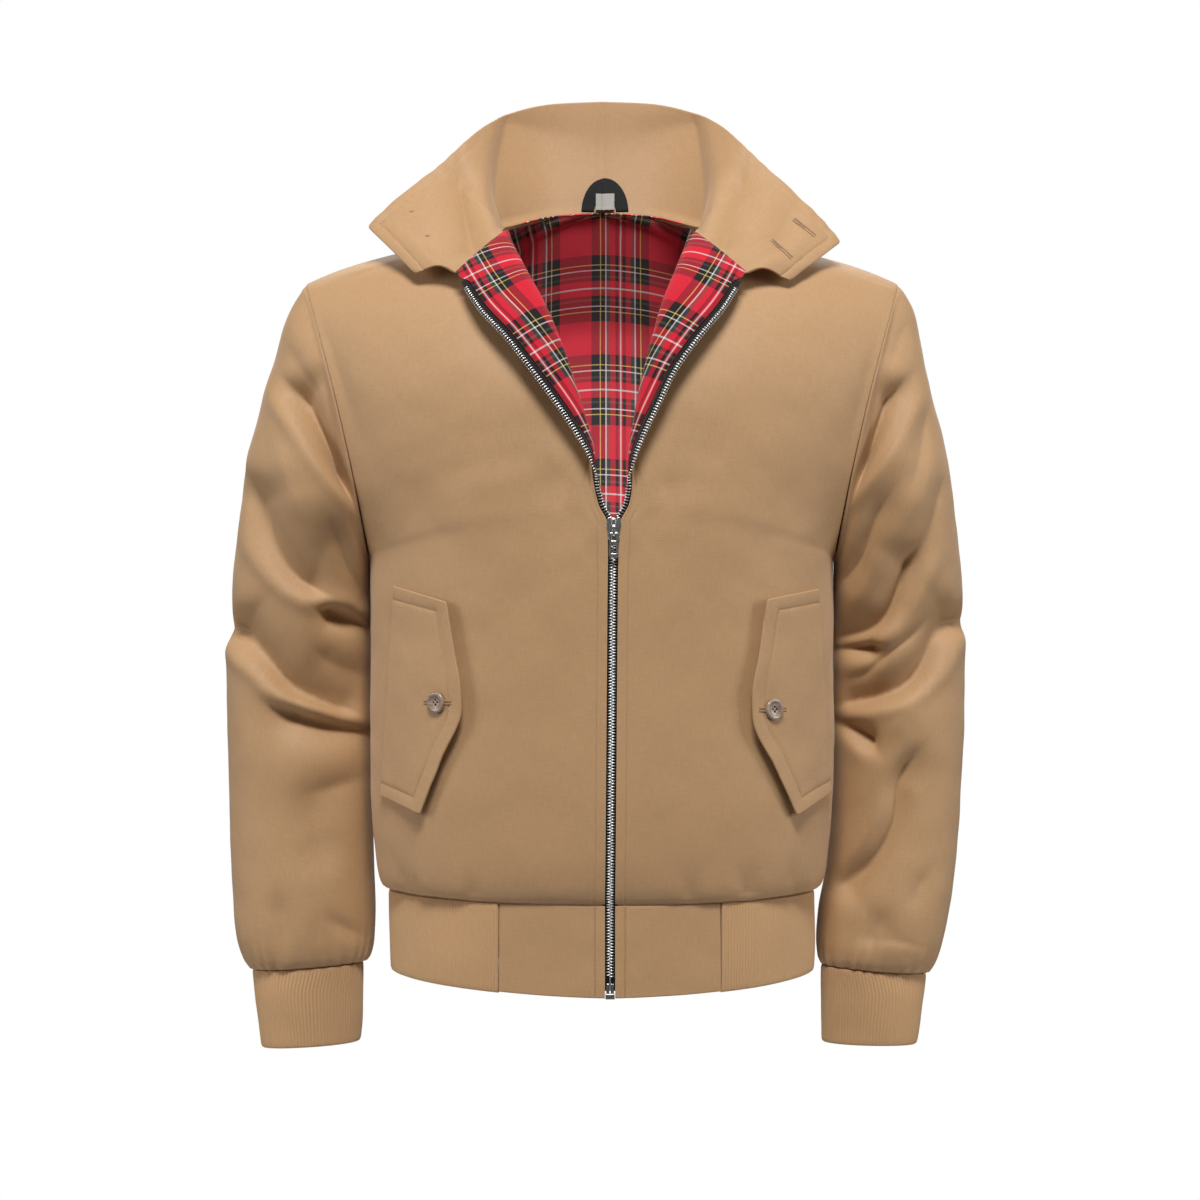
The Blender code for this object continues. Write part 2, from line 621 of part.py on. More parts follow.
def sleeve(side, name):
    rings = [ring(SLEEVES[side], side, at, turns(SLEEVE_SIDES)) for at in SLEEVE_STEPS]
    rings = sink_folds(rings, side)
    columns = [shortened(list(column), ARMHOLE_SEAM, FLAT_SEAM) for column in zip(*rings)]
    rings = [list(row) for row in zip(*columns)]
    mesh = bmesh.new()
    add_grid(mesh, rings, flip=side < 0, closed=True)
    return solidify(finished(mesh, name, SHELL), SHELL_WALL)


# ---------------------------------------------------------------------------------------------------------
# Ribbed knit: ribs stand up from the outer points of a wall whose inside is plain
# ---------------------------------------------------------------------------------------------------------
RIB_HEIGHT = 0.55 * MM
CUFF_RIBS = 60
BAND_RIBS = 184
PLAIN_PER_RIB = 2


def strip(mesh, coarse, fine, flip):
    """Faces between a row of n vertices and one of n * k + 1 or n * k vertices, as a fan to each coarse one."""
    per = (len(fine) - 1) // (len(coarse) - 1)
    for i in range(len(coarse) - 1):
        half = i * per + per // 2
        for k in range(i * per, (i + 1) * per):
            apex = coarse[i] if k < half else coarse[i + 1]
            corners = [fine[k], fine[k + 1], apex]
            mesh.faces.new(corners[::-1] if flip else corners)
        corners = [fine[half], coarse[i + 1], coarse[i]]
        mesh.faces.new(corners[::-1] if flip else corners)


def ribbed_wall(outer, inner, name, flip, closed):
    """A wall between rows of many outer points and rows of few inner ones."""
    mesh = bmesh.new()
    out = add_grid(mesh, outer, flip, closed)
    within = add_grid(mesh, inner, not flip, closed)
    if closed:
        out = [row + row[:1] for row in out]
        within = [row + row[:1] for row in within]
    strip(mesh, within[0], out[0], not flip)
    strip(mesh, within[-1], out[-1], flip)
    if not closed:
        for column, turned in ((0, flip), (-1, not flip)):
            a, b = [row[column] for row in out], [row[column] for row in within]
            for k in range(len(a) - 1):
                corners = [a[k], a[k + 1], b[-1 if k else 0]]
                mesh.faces.new(corners[::-1] if turned else corners)
            corners = [a[1], b[-1], b[0]]
            mesh.faces.new(corners[::-1] if turned else corners)
    bmesh.ops.recalc_face_normals(mesh, faces=mesh.faces)
    return finished(mesh, name, RIB, weld=0)


def cuff(side, name):
    """A ribbed cuff below the sleeve's end."""
    table = CUFFS[side]
    count = CUFF_RIBS * 2
    angles = turns(count)
    outer = []
    for at in (0.0, 1.0):
        points = ring(table, side, at, angles)
        middle = sum(points, Vector()) / count
        outer.append([
            p + (p - middle).normalized() * (RIB_HEIGHT if k % 2 else 0.0) for k, p in enumerate(points)
        ])
    inner = []
    for at in (0.0, 1.0):
        points = ring(table, side, at, turns(count // (2 * PLAIN_PER_RIB)))
        middle = sum(points, Vector()) / len(points)
        inner.append([p - (p - middle).normalized() * RIB_WALL for p in points])
    drop = Vector((0, 0, -FLAT_SEAM))
    outer = [[p + drop for p in row] for row in outer]
    inner = [[p + drop for p in row] for row in inner]
    return ribbed_wall(outer, inner, name, side < 0, closed=True)


# ---------------------------------------------------------------------------------------------------------
# Hem band: cloth tabs beside the zip, ribbed knit round the sides and back
# ---------------------------------------------------------------------------------------------------------
BAND = Table("at side_x side_z front_y front_z back_y back_z", [
    (0.00, 0.1822, -0.5885, -0.1232, -0.5925, 0.0982, -0.5885),
    (1.00, 0.1812, -0.6560, -0.1222, -0.6690, 0.0970, -0.6560),
])
TAB_WIDTH = 0.090
BAND_STEPS = (0.0, 1.0)


def band_line(at):
    """The band's full outline at one height, as many points from the zip round the back to the zip again."""
    row = BAND.at(at)
    zip_x = CHAIN.at(0)["middle"]
    side = Vector((row["side_x"], 0, row["side_z"]))
    front = Vector((ZIP_HALF, row["front_y"], row["front_z"]))
    back = Vector((0, row["back_y"], row["back_z"]))
    reach_x, reach_front, reach_back = Vector((0.11, 0, 0)), Vector((0, 0.068, 0)), Vector((0, 0.056, 0))
    lift = Vector((0, 0, 0.003 * at))
    line = []
    for hand in (-1, 1):
        start = front + Vector((zip_x * hand, 0, 0))
        half = [bezier((start, start + reach_x + lift, side - reach_front, side), t) for t in steps(0, 1, 40)]
        half += [bezier((side, side + reach_back, back + reach_x, back), t) for t in steps(0, 1, 40)][1:]
        half = [mirrored(hand, p) for p in half]
        line += half if hand < 0 else half[::-1][1:]
    return line


def band_point(side, at, place):
    """A point of the tape behind the band, this far from the chain's middle."""
    line = band_line(at)
    line = line if side < 0 else line[::-1]
    start, way = line[0], (line[1] - line[0]).normalized()
    point = resampled(line, place - ZIP_HALF, 0, 2)[0] if place > ZIP_HALF else start + way * (place - ZIP_HALF)
    return point + Vector((0, RIB_WALL + LAYER_GAP, 0))


def band_tab(side, name):
    """The doubled cloth tab beside the zip."""
    rows = []
    for at in BAND_STEPS:
        line = band_line(at)
        line = line if side < 0 else line[::-1]
        rows.append(resampled(line, 0.0, length_of(line) - TAB_WIDTH + FLAT_SEAM, 7))
    mesh = bmesh.new()
    add_grid(mesh, rows, flip=side > 0)
    return solidify(finished(mesh, name, SHELL), RIB_WALL)


def band_rib(name):
    """The ribbed stretch of the band, from tab to tab round the back."""
    outer, inner = [], []
    count = BAND_RIBS * 2
    for at in BAND_STEPS:
        row = resampled(band_line(at), TAB_WIDTH + FLAT_SEAM, TAB_WIDTH + FLAT_SEAM, count + 1)
        ways = [(row[min(k + 1, count)] - row[max(k - 1, 0)]).cross(Vector((0, 0, 1))).normalized()
                for k in range(count + 1)]
        ways = [way if way.dot(Vector((p.x, p.y, 0))) > 0 else -way for way, p in zip(ways, row)]
        outer.append([p + way * (RIB_HEIGHT if k % 2 else 0) for k, (p, way) in enumerate(zip(row, ways))])
        if at in (0.0, 1.0):
            every = 2 * PLAIN_PER_RIB
            inner.append([p - way * RIB_WALL for p, way in zip(row, ways)][::every])
    return ribbed_wall(outer, inner, name, True, closed=False)


# ---------------------------------------------------------------------------------------------------------
# Collar
# ---------------------------------------------------------------------------------------------------------
# Its upper edge by share of its half length, from the centre back to the front end
COLLAR_TOP = Table("at x y z", [
    (0.00, 0.0000, 0.0980, 0.1025),
    (0.15, 0.0450, 0.0930, 0.0995),
    (0.30, 0.0830, 0.0700, 0.0880),
    (0.42, 0.1040, 0.0400, 0.0725),
    (0.53, 0.1185, 0.0160, 0.0570),
    (0.65, 0.1400, -0.0020, 0.0350),
    (0.76, 0.1620, -0.0150, 0.0140),
    (0.87, 0.1820, -0.0240, -0.0055),
    (1.00, 0.2020, -0.0320, -0.0200),
])
# The lower edge beyond the seam, from the notch at the front's corner to the collar's end
COLLAR_EAR = Table("at x y z", [
    (0.00, 0.1240, -0.0700, -0.0600),
    (0.35, 0.1360, -0.0720, -0.0560),
    (1.00, 0.1560, -0.0740, -0.0670),
])
CORNER_AT = 0.87
WING_DROOP = {-1: 0.0, 1: 0.014}
WING_REACH = {-1: -0.001, 1: 0.002}
COLLAR_STEPS = steps(0, CORNER_AT, 15) + [0.91, 0.955, 1.0]
COLLAR_RISE = (0.0, 0.15, 0.4, 0.7, 1.0)


def neckline(side):
    """The neck seam of one side, from the centre back to the corner of the turned-out front."""
    line = [bezier(back_row(side, at), 0) for at in steps(NECK_BACK_AT, 1, 12)]
    line += [bezier(front_row(side, at), 0) for at in steps(1, ROLL_TOP_AT, 8)][1:]
    line += [bezier(lapel_row(side, ROLL_TOP_AT), t) for t in steps(0, 1, 14)][1:]
    return line


def collar_half(side):
    """Rows across the collar from the centre back to one end, each from the seam to the upper edge."""
    seam = neckline(side)
    whole = length_of(seam)
    corner = seam[-1]
    rows = []
    for at in COLLAR_STEPS:
        if at <= CORNER_AT:
            place = whole * at / CORNER_AT
            low = resampled(seam, place, 0, 2)[0] if at else seam[0]
        else:
            ear = COLLAR_EAR.at((at - CORNER_AT) / (1 - CORNER_AT))
            start = COLLAR_EAR.at(0)
            shift = Vector((corner.x * side - start["x"], corner.y - start["y"], corner.z - start["z"]))
            fade = 1 - (at - CORNER_AT) / (1 - CORNER_AT)
            low = mirrored(side, Vector((ear["x"], ear["y"], ear["z"])) + shift * fade)
        top = COLLAR_TOP.at(at)
        droop = WING_DROOP[side] * max(0.0, (at - 0.4) / 0.6) ** 1.3
        reach = WING_REACH[side] * min(1.0, at / 0.6)
        high = mirrored(side, Vector((top["x"] + reach, top["y"], top["z"] - droop)))
        low = low - Vector((0, 0, 0.45 * droop * max(0.0, (at - CORNER_AT) / (1 - CORNER_AT))))
        bow = Vector((0, 0.010, 0.004)) * (1 - at) - Vector((0, 0.004, 0)) * at
        rows.append([low.lerp(high, rise) + bow * math.sin(math.pi * rise) * 0.8 for rise in COLLAR_RISE])
    return rows


def collar(name):
    """The whole collar: its seam line is the outer face's, and the wall stands inside that."""
    right, left = collar_half(-1), collar_half(1)
    rows = right[::-1] + left[1:]
    rows = [shortened(row, 2 * FLAT_SEAM) for row in rows]
    mesh = bmesh.new()
    add_grid(mesh, rows, flip=False)
    return solidify(finished(mesh, name, SHELL), COLLAR_WALL)


# ---------------------------------------------------------------------------------------------------------
# What lies on a panel: pocket flaps, buttons, hanger loop and label
# ---------------------------------------------------------------------------------------------------------
class Surface:
    """A grid's surface, read by looking along Y at a place in front of it."""

    def __init__(self, grid):
        points = [p for row in grid for p in row]
        width = len(grid[0])
        faces = [
            (i * width + k, i * width + k + 1, (i + 1) * width + k + 1, (i + 1) * width + k)
            for i in range(len(grid) - 1) for k in range(width - 1)
        ]
        self.tree = BVHTree.FromPolygons(points, faces)

    def at(self, x, z, off=0.0):
        """The point seen at (x, z), moved off the surface towards the front, and the way out there."""
        point, normal, _, _ = self.tree.ray_cast(Vector((x, -1, z)), Vector((0, 1, 0)))
        if normal.y > 0:
            normal.negate()
        return point + normal * off, normal


# Each flap's rows from its top to its bottom: the sewn edge by the side seam, and the free edge towards the zip
FLAP_COLUMNS = "at sewn_x sewn_z free_x free_z"
FLAPS = {
    -1: Table(FLAP_COLUMNS, [
        (0.00, -0.1733, -0.3280, -0.1251, -0.3412),
        (0.25, -0.1763, -0.3720, -0.1193, -0.3800),
        (0.50, -0.1793, -0.4170, -0.1134, -0.4202),
        (0.56, -0.1800, -0.4270, -0.1134, -0.4302),
        (0.78, -0.1827, -0.4670, -0.1300, -0.4740),
        (1.00, -0.1853, -0.5050, -0.1467, -0.5180),
    ]),
    1: Table(FLAP_COLUMNS, [
        (0.00, 0.1800, -0.3307, 0.1328, -0.3392),
        (0.25, 0.1832, -0.3720, 0.1270, -0.3810),
        (0.50, 0.1864, -0.4160, 0.1210, -0.4227),
        (0.56, 0.1874, -0.4290, 0.1210, -0.4359),
        (0.78, 0.1900, -0.4670, 0.1390, -0.4780),
        (1.00, 0.1925, -0.5030, 0.1573, -0.5195),
    ]),
}
FLAP_LIFT = 3.0 * MM
FLAP_BUTTONS = {-1: (-0.1358, -0.4247), 1: (0.1411, -0.4305)}
COLLAR_BUTTONS = [(-0.1616, -0.0111), (-0.1469, -0.0341)]


def flap_grid(side, panel):
    """The flap's outer face: on the panel at the sewn edge, and standing off it towards the free one."""
    grid = []
    for at in (0.0, 0.12, 0.25, 0.38, 0.50, 0.56, 0.67, 0.78, 0.90, 1.0):
        row = FLAPS[side].at(at)
        line = []
        for share in (0.0, 0.2, 0.45, 0.72, 1.0):
            x = row["sewn_x"] + (row["free_x"] - row["sewn_x"]) * share
            z = row["sewn_z"] + (row["free_z"] - row["sewn_z"]) * share
            line.append(panel.at(x, z, FLAP_WALL + 1.5 * MM + FLAP_LIFT * share ** 1.5)[0])
        grid.append(line)
    return grid


def flap(side, name, grid):
    mesh = bmesh.new()
    add_grid(mesh, grid, flip=side < 0)
    return solidify(finished(mesh, name, SHELL), FLAP_WALL)


# A button's half section, centre to rim to back: a raised rim round a dished middle
BUTTON_SECTION = Table("at radius height", [
    (0.0, 0.0000, 0.0016),
    (0.3, 0.0052, 0.0016),
    (0.5, 0.0066, 0.0028),
    (0.7, 0.0080, 0.0020),
    (1.0, 0.0070, 0.0000),
])
BUTTON_SIDES = 16
BUTTON_HOLE = 0.9 * MM
BUTTON_HOLES_FROM = 1.9 * MM


def axes_of(way):
    across = Vector((1, 0, 0))
    across = (across - way * across.dot(way)).normalized()
    return across, way.cross(across)


def button(name, place, way):
    """A four-hole button lying with its back at place, facing way."""
    across, up = axes_of(way)
    sections = [(row[1], row[2]) for row in BUTTON_SECTION.rows]
    mesh = bmesh.new()
    rings = []
    for radius, height in sections[1:]:
        rings.append([
            mesh.verts.new(place + way * height + across * radius * math.cos(a) + up * radius * math.sin(a))
            for a in turns(BUTTON_SIDES)
        ])
    mesh.faces.new(rings[0])
    for inner, outer in zip(rings, rings[1:]):
        for k in range(BUTTON_SIDES):
            n = (k + 1) % BUTTON_SIDES
            mesh.faces.new([inner[k], outer[k], outer[n], inner[n]])
    mesh.faces.new(rings[-1][::-1])
    made = finished(mesh, name, BUTTON, weld=0)
    drill = bmesh.new()
    for k in range(4):
        a = math.pi / 2 * k
        middle = place + across * BUTTON_HOLES_FROM * math.cos(a) + up * BUTTON_HOLES_FROM * math.sin(a)
        ends = []
        for height in (-0.002, 0.005):
            ends.append([
                drill.verts.new(middle + way * height + (across * math.cos(b) + up * math.sin(b)) * BUTTON_HOLE)
                for b in turns(6)
            ])
        drill.faces.new(ends[0][::-1])
        drill.faces.new(ends[1])
        for n in range(6):
            m = (n + 1) % 6
            drill.faces.new([ends[0][n], ends[0][m], ends[1][m], ends[1][n]])
    cut = made.modifiers.new("holes", "BOOLEAN")
    cut.object = helper(drill, name + "_holes")
    cut.operation = "DIFFERENCE"
    cut.solver = "EXACT"
    return made


def helper(mesh, name):
    """A cutter or an added block: an object that shapes another and is no part itself."""
    data = bpy.data.meshes.new(name)
    mesh.to_mesh(data)
    mesh.free()
    made = bpy.data.objects.new(name, data)
    made.hide_render = True
    made.display_type = "WIRE"
    JACKET.objects.link(made)
    return made


LOOP_MIDDLE = 0.0026
LOOP_FOOT = -0.0005


def hanger_loop(name, inside):
    """A flat woven tape bent into an arch, standing off the collar's inner face."""
    mesh = bmesh.new()
    grid = []
    for angle in steps(0, math.pi, 14):
        line = []
        stand = (1.3 + 2.1 * math.sin(angle)) * MM
        for half, rise in ((0.0210, 0.0310), (0.0115, 0.0195)):
            x = LOOP_MIDDLE + half * math.cos(angle)
            z = LOOP_FOOT + rise * math.sin(angle)
            line.append(inside.at(x, max(z, 0.002), COLLAR_WALL + stand)[0] + Vector((0, 0, min(0.0, z - 0.002))))
        grid.append(line)
    add_grid(mesh, grid, flip=False)
    return solidify(finished(mesh, name, TAPE), TAPE_WALL)


def neck_label(name, inside):
    """A small plain label lying on the collar's inner face under the loop."""
    mesh = bmesh.new()
    grid = [[inside.at(x, z, COLLAR_WALL + 1.5 * MM)[0] for x in steps(LOOP_MIDDLE - 0.0087, LOOP_MIDDLE + 0.0087, 3)]
            for z in steps(0.0020, 0.0175, 2)]
    add_grid(mesh, grid, flip=False)
    return solidify(finished(mesh, name, LABEL), 0.8 * MM)


# ---------------------------------------------------------------------------------------------------------
# The zip's slider, its pull and the box and pins at the hem
# ---------------------------------------------------------------------------------------------------------
SLIDER = Vector((0.0096, -0.1384, -0.2814))
SLIDER_PLATE = 1.2 * MM
SLIDER_BACK_AT = 4.6 * MM
PULL_AXIS = Vector((0.0096, -0.1412, -0.2854))
PULL_WALL = 1.2 * MM


def add_box(mesh, low, high):
    corners = [mesh.verts.new((x, y, z)) for z in (low[2], high[2]) for y in (low[1], high[1]) for x in (low[0], high[0])]
    for face in ((0, 2, 3, 1), (4, 5, 7, 6), (0, 1, 5, 4), (2, 6, 7, 3), (0, 4, 6, 2), (1, 3, 7, 5)):
        mesh.faces.new([corners[k] for k in face])


def box_at(middle, x, y, z):
    """The corners of a box by its extents from a point."""
    return (middle.x + x[0], middle.y + y[0], middle.z + z[0]), (middle.x + x[1], middle.y + y[1], middle.z + z[1])


def joined(made, blocks, name):
    """Fuses blocks onto an object."""
    for number, (low, high) in enumerate(blocks):
        mesh = bmesh.new()
        add_box(mesh, low, high)
        fuse = made.modifiers.new("fuse", "BOOLEAN")
        fuse.object = helper(mesh, f"{name}_block_{number}")
        fuse.operation = "UNION"
        fuse.solver = "EXACT"
    return made


def zip_slider(name):
    """Two plates joined by a post between the chain's halves, with a bridge in front that carries the pull."""
    outline = [(-0.0046, -0.0094), (0.0046, -0.0094), (0.0063, 0.0020), (0.0060, 0.0075), (0.0035, 0.0094),
               (-0.0035, 0.0094), (-0.0060, 0.0075), (-0.0063, 0.0020)]
    mesh = bmesh.new()
    ends = [[mesh.verts.new((SLIDER.x + x, SLIDER.y + y, SLIDER.z + z)) for x, z in outline]
            for y in (-SLIDER_PLATE, 0.0)]
    mesh.faces.new(ends[0])
    mesh.faces.new(ends[1][::-1])
    for k in range(len(outline)):
        n = (k + 1) % len(outline)
        mesh.faces.new([ends[0][n], ends[0][k], ends[1][k], ends[1][n]])
    made = finished(mesh, name, METAL, weld=0)
    for polygon in made.data.polygons:
        polygon.use_smooth = False
    front = -SLIDER_PLATE
    return joined(made, [
        box_at(SLIDER, (-0.0010, 0.0010), (front - 0.0042, front + 0.0004), (-0.0062, -0.0050)),
        box_at(SLIDER, (-0.0010, 0.0010), (front - 0.0042, front + 0.0004), (0.0018, 0.0030)),
        box_at(SLIDER, (-0.0010, 0.0010), (front - 0.0042, front - 0.0030), (-0.0058, 0.0026)),
        box_at(SLIDER, (-0.0009, 0.0009), (-0.0004, SLIDER_BACK_AT + 0.0004), (0.0074, 0.0092)),
        box_at(SLIDER, (-0.0050, 0.0050), (SLIDER_BACK_AT, SLIDER_BACK_AT + 0.0010), (-0.0090, 0.0090)),
    ], name)


def zip_pull(name):
    """The pull: a flat plate with a window that hangs on the bridge by its upper bar, and one near its end."""
    xs = [-0.0040, -0.0018, 0.0018, 0.0040]
    zs = [0.0006, -0.0006, -0.0061, -0.0100, -0.0165, -0.0204]
    windows = {(1, 1), (1, 3)}
    mesh = bmesh.new()
    verts = {}
    for i, z in enumerate(zs):
        for k, x in enumerate(xs):
            narrow = 0.0006 if i in (0, 5) and k in (0, 3) else 0.0
            verts[k, i] = mesh.verts.new((PULL_AXIS.x + x - math.copysign(narrow, x),
                                          PULL_AXIS.y - PULL_WALL / 2, PULL_AXIS.z + z))
    for i in range(len(zs) - 1):
        for k in range(len(xs) - 1):
            if (k, i) not in windows:
                mesh.faces.new([verts[k, i], verts[k, i + 1], verts[k + 1, i + 1], verts[k + 1, i]])
    made = solidify(finished(mesh, name, METAL, weld=0), PULL_WALL)
    for polygon in made.data.polygons:
        polygon.use_smooth = False
    return made


def zip_box(name):
    """The box that stops the zip at the hem, and the two pins that stand in it."""
    band = BAND.at(1)
    middle = Vector((CHAIN.at(0)["middle"], band["front_y"] + RIB_WALL + LAYER_GAP, band["front_z"]))
    mesh = bmesh.new()
    add_box(mesh, *box_at(middle, (-0.0038, 0.0038), (-0.0016, 0.0026), (-0.0010, 0.0036)))
    made = finished(mesh, name, METAL, weld=0)
    for polygon in made.data.polygons:
        polygon.use_smooth = False
    return joined(made, [
        box_at(middle, (-0.0032, -0.0006), (-0.0014, -0.0003), (0.0030, 0.0120)),
        box_at(middle, (0.0006, 0.0032), (-0.0014, -0.0003), (0.0030, 0.0120)),
    ], name)


# ---------------------------------------------------------------------------------------------------------
# Materials and assembly
# ---------------------------------------------------------------------------------------------------------
clear_scene()
JACKET = new_collection("harrington_jacket")
SHELL = new_material("tan_poplin", (0.447, 0.264, 0.139), 0.62)
RIB = new_material("tan_rib_knit", (0.440, 0.275, 0.140), 0.85)
LINING = new_material("checked_lining", (0.42, 0.018, 0.028), 0.85)
TAPE = new_material("black_tape", (0.012, 0.012, 0.014), 0.80)
LABEL = new_material("grey_label", (0.45, 0.45, 0.47), 0.80)
METAL = new_material("nickel_zip", (0.60, 0.60, 0.62), 0.30, metallic=1.0)
BUTTON = new_material("horn_button", (0.28, 0.19, 0.12), 0.40)

for hand, hand_name in ((-1, "right"), (1, "left")):
    front_cloth(hand, "front_" + hand_name, SHELL, SHELL_WALL, 0.0, ZIP_HALF, SHELL_SEAMS)
    front_cloth(hand, "lining_front_" + hand_name, LINING, LINING_WALL, SHELL_WALL + LINING_GAP,
                ZIP_HALF + TAPE_UNDER + TAPE_TO_LINING, LINING_SEAMS, rows=2, columns=2)
back_cloth("back", SHELL, SHELL_WALL, 0.0, SHELL_SEAMS)
sleeve(-1, "sleeve_right")
sleeve(1, "sleeve_left")
cuff(-1, "cuff_right")
cuff(1, "cuff_left")
band_tab(-1, "band_tab_right")
band_tab(1, "band_tab_left")
band_rib("band_rib")
collar("collar")
back_cloth("lining_back", LINING, LINING_WALL, SHELL_WALL + BACK_LINING_GAP, LINING_SEAMS, rows=2, columns=2)
zip_tape(-1, "zip_tape_right")
zip_tape(1, "zip_tape_left")

collar_back = Surface([row for row in collar_half(-1)[::-1] + collar_half(1)[1:]])
hanger_loop("hanger_loop", collar_back)
neck_label("neck_label", collar_back)
for number, (x, z) in enumerate(COLLAR_BUTTONS):
    place, way = collar_back.at(x, z)
    button(f"collar_button_{number + 1}", place - way * LAYER_GAP, -way)

for hand, hand_name in ((-1, "right"), (1, "left")):
    panel = Surface(front_grids(hand)[1])
    grid = flap_grid(hand, panel)
    flap(hand, "pocket_flap_" + hand_name, grid)
    place, way = Surface(grid).at(*FLAP_BUTTONS[hand], LAYER_GAP)
    button("flap_button_" + hand_name, place, way)

zip_slider("zip_slider")
zip_pull("zip_pull")
zip_box("zip_box")
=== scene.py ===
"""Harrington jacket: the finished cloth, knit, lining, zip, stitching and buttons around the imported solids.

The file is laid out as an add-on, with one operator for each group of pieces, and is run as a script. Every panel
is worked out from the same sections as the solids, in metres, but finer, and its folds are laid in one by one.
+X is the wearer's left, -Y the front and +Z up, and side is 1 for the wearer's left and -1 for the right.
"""

import math

import bmesh
import bpy
import numpy as np
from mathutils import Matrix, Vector, noise
from mathutils.bvhtree import BVHTree


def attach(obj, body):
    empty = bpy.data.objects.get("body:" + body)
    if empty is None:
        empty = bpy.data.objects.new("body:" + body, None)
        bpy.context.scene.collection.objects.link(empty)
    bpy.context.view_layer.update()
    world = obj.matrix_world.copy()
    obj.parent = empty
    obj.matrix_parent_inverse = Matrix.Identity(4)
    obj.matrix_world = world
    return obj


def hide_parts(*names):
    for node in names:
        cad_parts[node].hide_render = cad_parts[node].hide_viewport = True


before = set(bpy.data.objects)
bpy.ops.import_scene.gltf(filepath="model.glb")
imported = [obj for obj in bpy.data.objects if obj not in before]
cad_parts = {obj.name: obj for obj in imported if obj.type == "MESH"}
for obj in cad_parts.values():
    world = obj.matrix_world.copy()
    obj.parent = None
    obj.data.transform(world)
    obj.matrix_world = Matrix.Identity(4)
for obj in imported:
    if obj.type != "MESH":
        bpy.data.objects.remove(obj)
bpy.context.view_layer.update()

bl_info = {
    "name": "Harrington jacket",
    "version": (1, 0, 0),
    "blender": (4, 5, 0),
    "location": "3D View > Sidebar > Jacket",
    "description": "Makes a zipped poplin jacket with a checked lining, ribbed cuffs and a ribbed hem",
    "category": "Add Mesh",
}

MM = 0.001
JACKET, PULL = "jacket", "zip_pull"
SIDES = {-1: "right", 1: "left"}

# Walls and the spaces between layers, as on the solids
SHELL_WALL = 1.5 * MM
LINING_WALL = 1.0 * MM
COLLAR_WALL = 2.2 * MM
RIB_WALL = 2.4 * MM
TAPE_WALL = 0.9 * MM
FLAP_WALL = 2.0 * MM
LAYER_GAP = 0.6 * MM
LINING_GAP = 1.6 * MM
BACK_LINING_GAP = 3.0 * MM
SEAM_GAP = 0.2 * MM
ARMHOLE_SEAM = 0.75 * MM
FRONT_SEAM = 0.1 * MM
LINING_INSET = 3.0 * MM
# The lining at the zip's turned end and at the neck, where it reaches the collar's inner face
LINING_TOP_AT = (0.905, 0.922)
LINING_TOP_EDGE = 0.8 * MM
COLLAR_INSIDE = (0, -2.4 * MM, 1.2 * MM)
NECK_BLEND = 2 * MM
NECK_REACH = 30 * MM

ZIP_HALF = 4.2 * MM
TAPE_UNDER = 2.0 * MM
TAPE_TO_LINING = 1.0 * MM

# Where a panel's rows pass from one boundary to the next, as a share of its height
UNDERARM_AT = 0.42
ROLL_TOP_AT = 0.93
NECK_BACK_AT = 0.82

# The armhole: a ring in a plane that leans outwards at the top
SHOULDER_POINT = np.array([0.2545, 0.0, -0.0690])
UNDERARM_POINT = np.array([0.1985, 0.0, -0.305])
ARMHOLE_HOLLOW = 5.5 * MM
ARMHOLE_DEPTH = {-1: 0.064, 1: 0.066}

# Where the jacket is looked at from, and the chart that folds are drawn on: squares counted across and down
VIEW_DISTANCE = 3.0
VIEW_HEIGHT = -0.34
VIEW_ACROSS = -0.0017
CHART_SQUARES = 1200
CHART_FOCAL = 3488.0
FOLD_BLEND = 9.0
# A fold's section: how steep its slope is, how far it is felt in widths, and its lip and its ends in mm
FOLD_POWER = 1.35
FOLD_REACH = 3.2
LIP_WIDTH = 7
FOLD_END = 14
FOLD_FACING = (-0.12, 0.30)
# Soft lumps of each cloth: size, height and seed
HUNG_LUMPS = [(0.06, 1.6 * MM, 0.0), (0.022, 0.5 * MM, 5.0)]
COLLAR_LUMPS = (0.05, 2.0 * MM, 3.0)
FLAP_LUMPS = (0.03, 0.9 * MM, 4.0)
TAB_LUMPS = (0.03, 0.8 * MM, 9.0)
CUFF_LUMPS = (0.03, 1.0 * MM, 2.0)
BAND_LUMPS = (0.05, 1.4 * MM, 7.0)
SENSOR = 36.0


# Curves and grids
class Table:
    """Rows of named numbers, read between rows on a smooth curve that never overshoots."""

    def __init__(self, columns, rows):
        self.names = columns.split()[1:]
        self.places, *self.columns = np.array(rows, float).T

    def at(self, place):
        """Every column at these places, as a dictionary of arrays."""
        knots = self.places
        place = np.clip(place, knots[0], knots[-1])
        i = np.clip(np.searchsorted(knots, place, side="right") - 1, 0, len(knots) - 2)
        step = np.diff(knots)
        t = (place - knots[i]) / step[i]
        read = {}
        for name, values in zip(self.names, self.columns):
            rise = np.diff(values) / step
            before, after = rise[:-1], rise[1:]
            same = before * after > 0
            inner = np.where(same, 2 * before * after / np.where(same, before + after, 1), 0)
            slope = np.concatenate([rise[:1], inner, rise[-1:]])
            read[name] = (values[i] + np.diff(values)[i] * t * t * (3 - 2 * t)
                          + step[i] * slope[i] * t * (1 - t) ** 2 + step[i] * slope[i + 1] * t * t * (t - 1))
        return read


def xyz(x, y, z):
    return np.stack(np.broadcast_arrays(x, y, z), -1).astype(float)


def unit(vectors):
    return vectors / np.maximum(np.linalg.norm(vectors, axis=-1, keepdims=True), 1e-12)


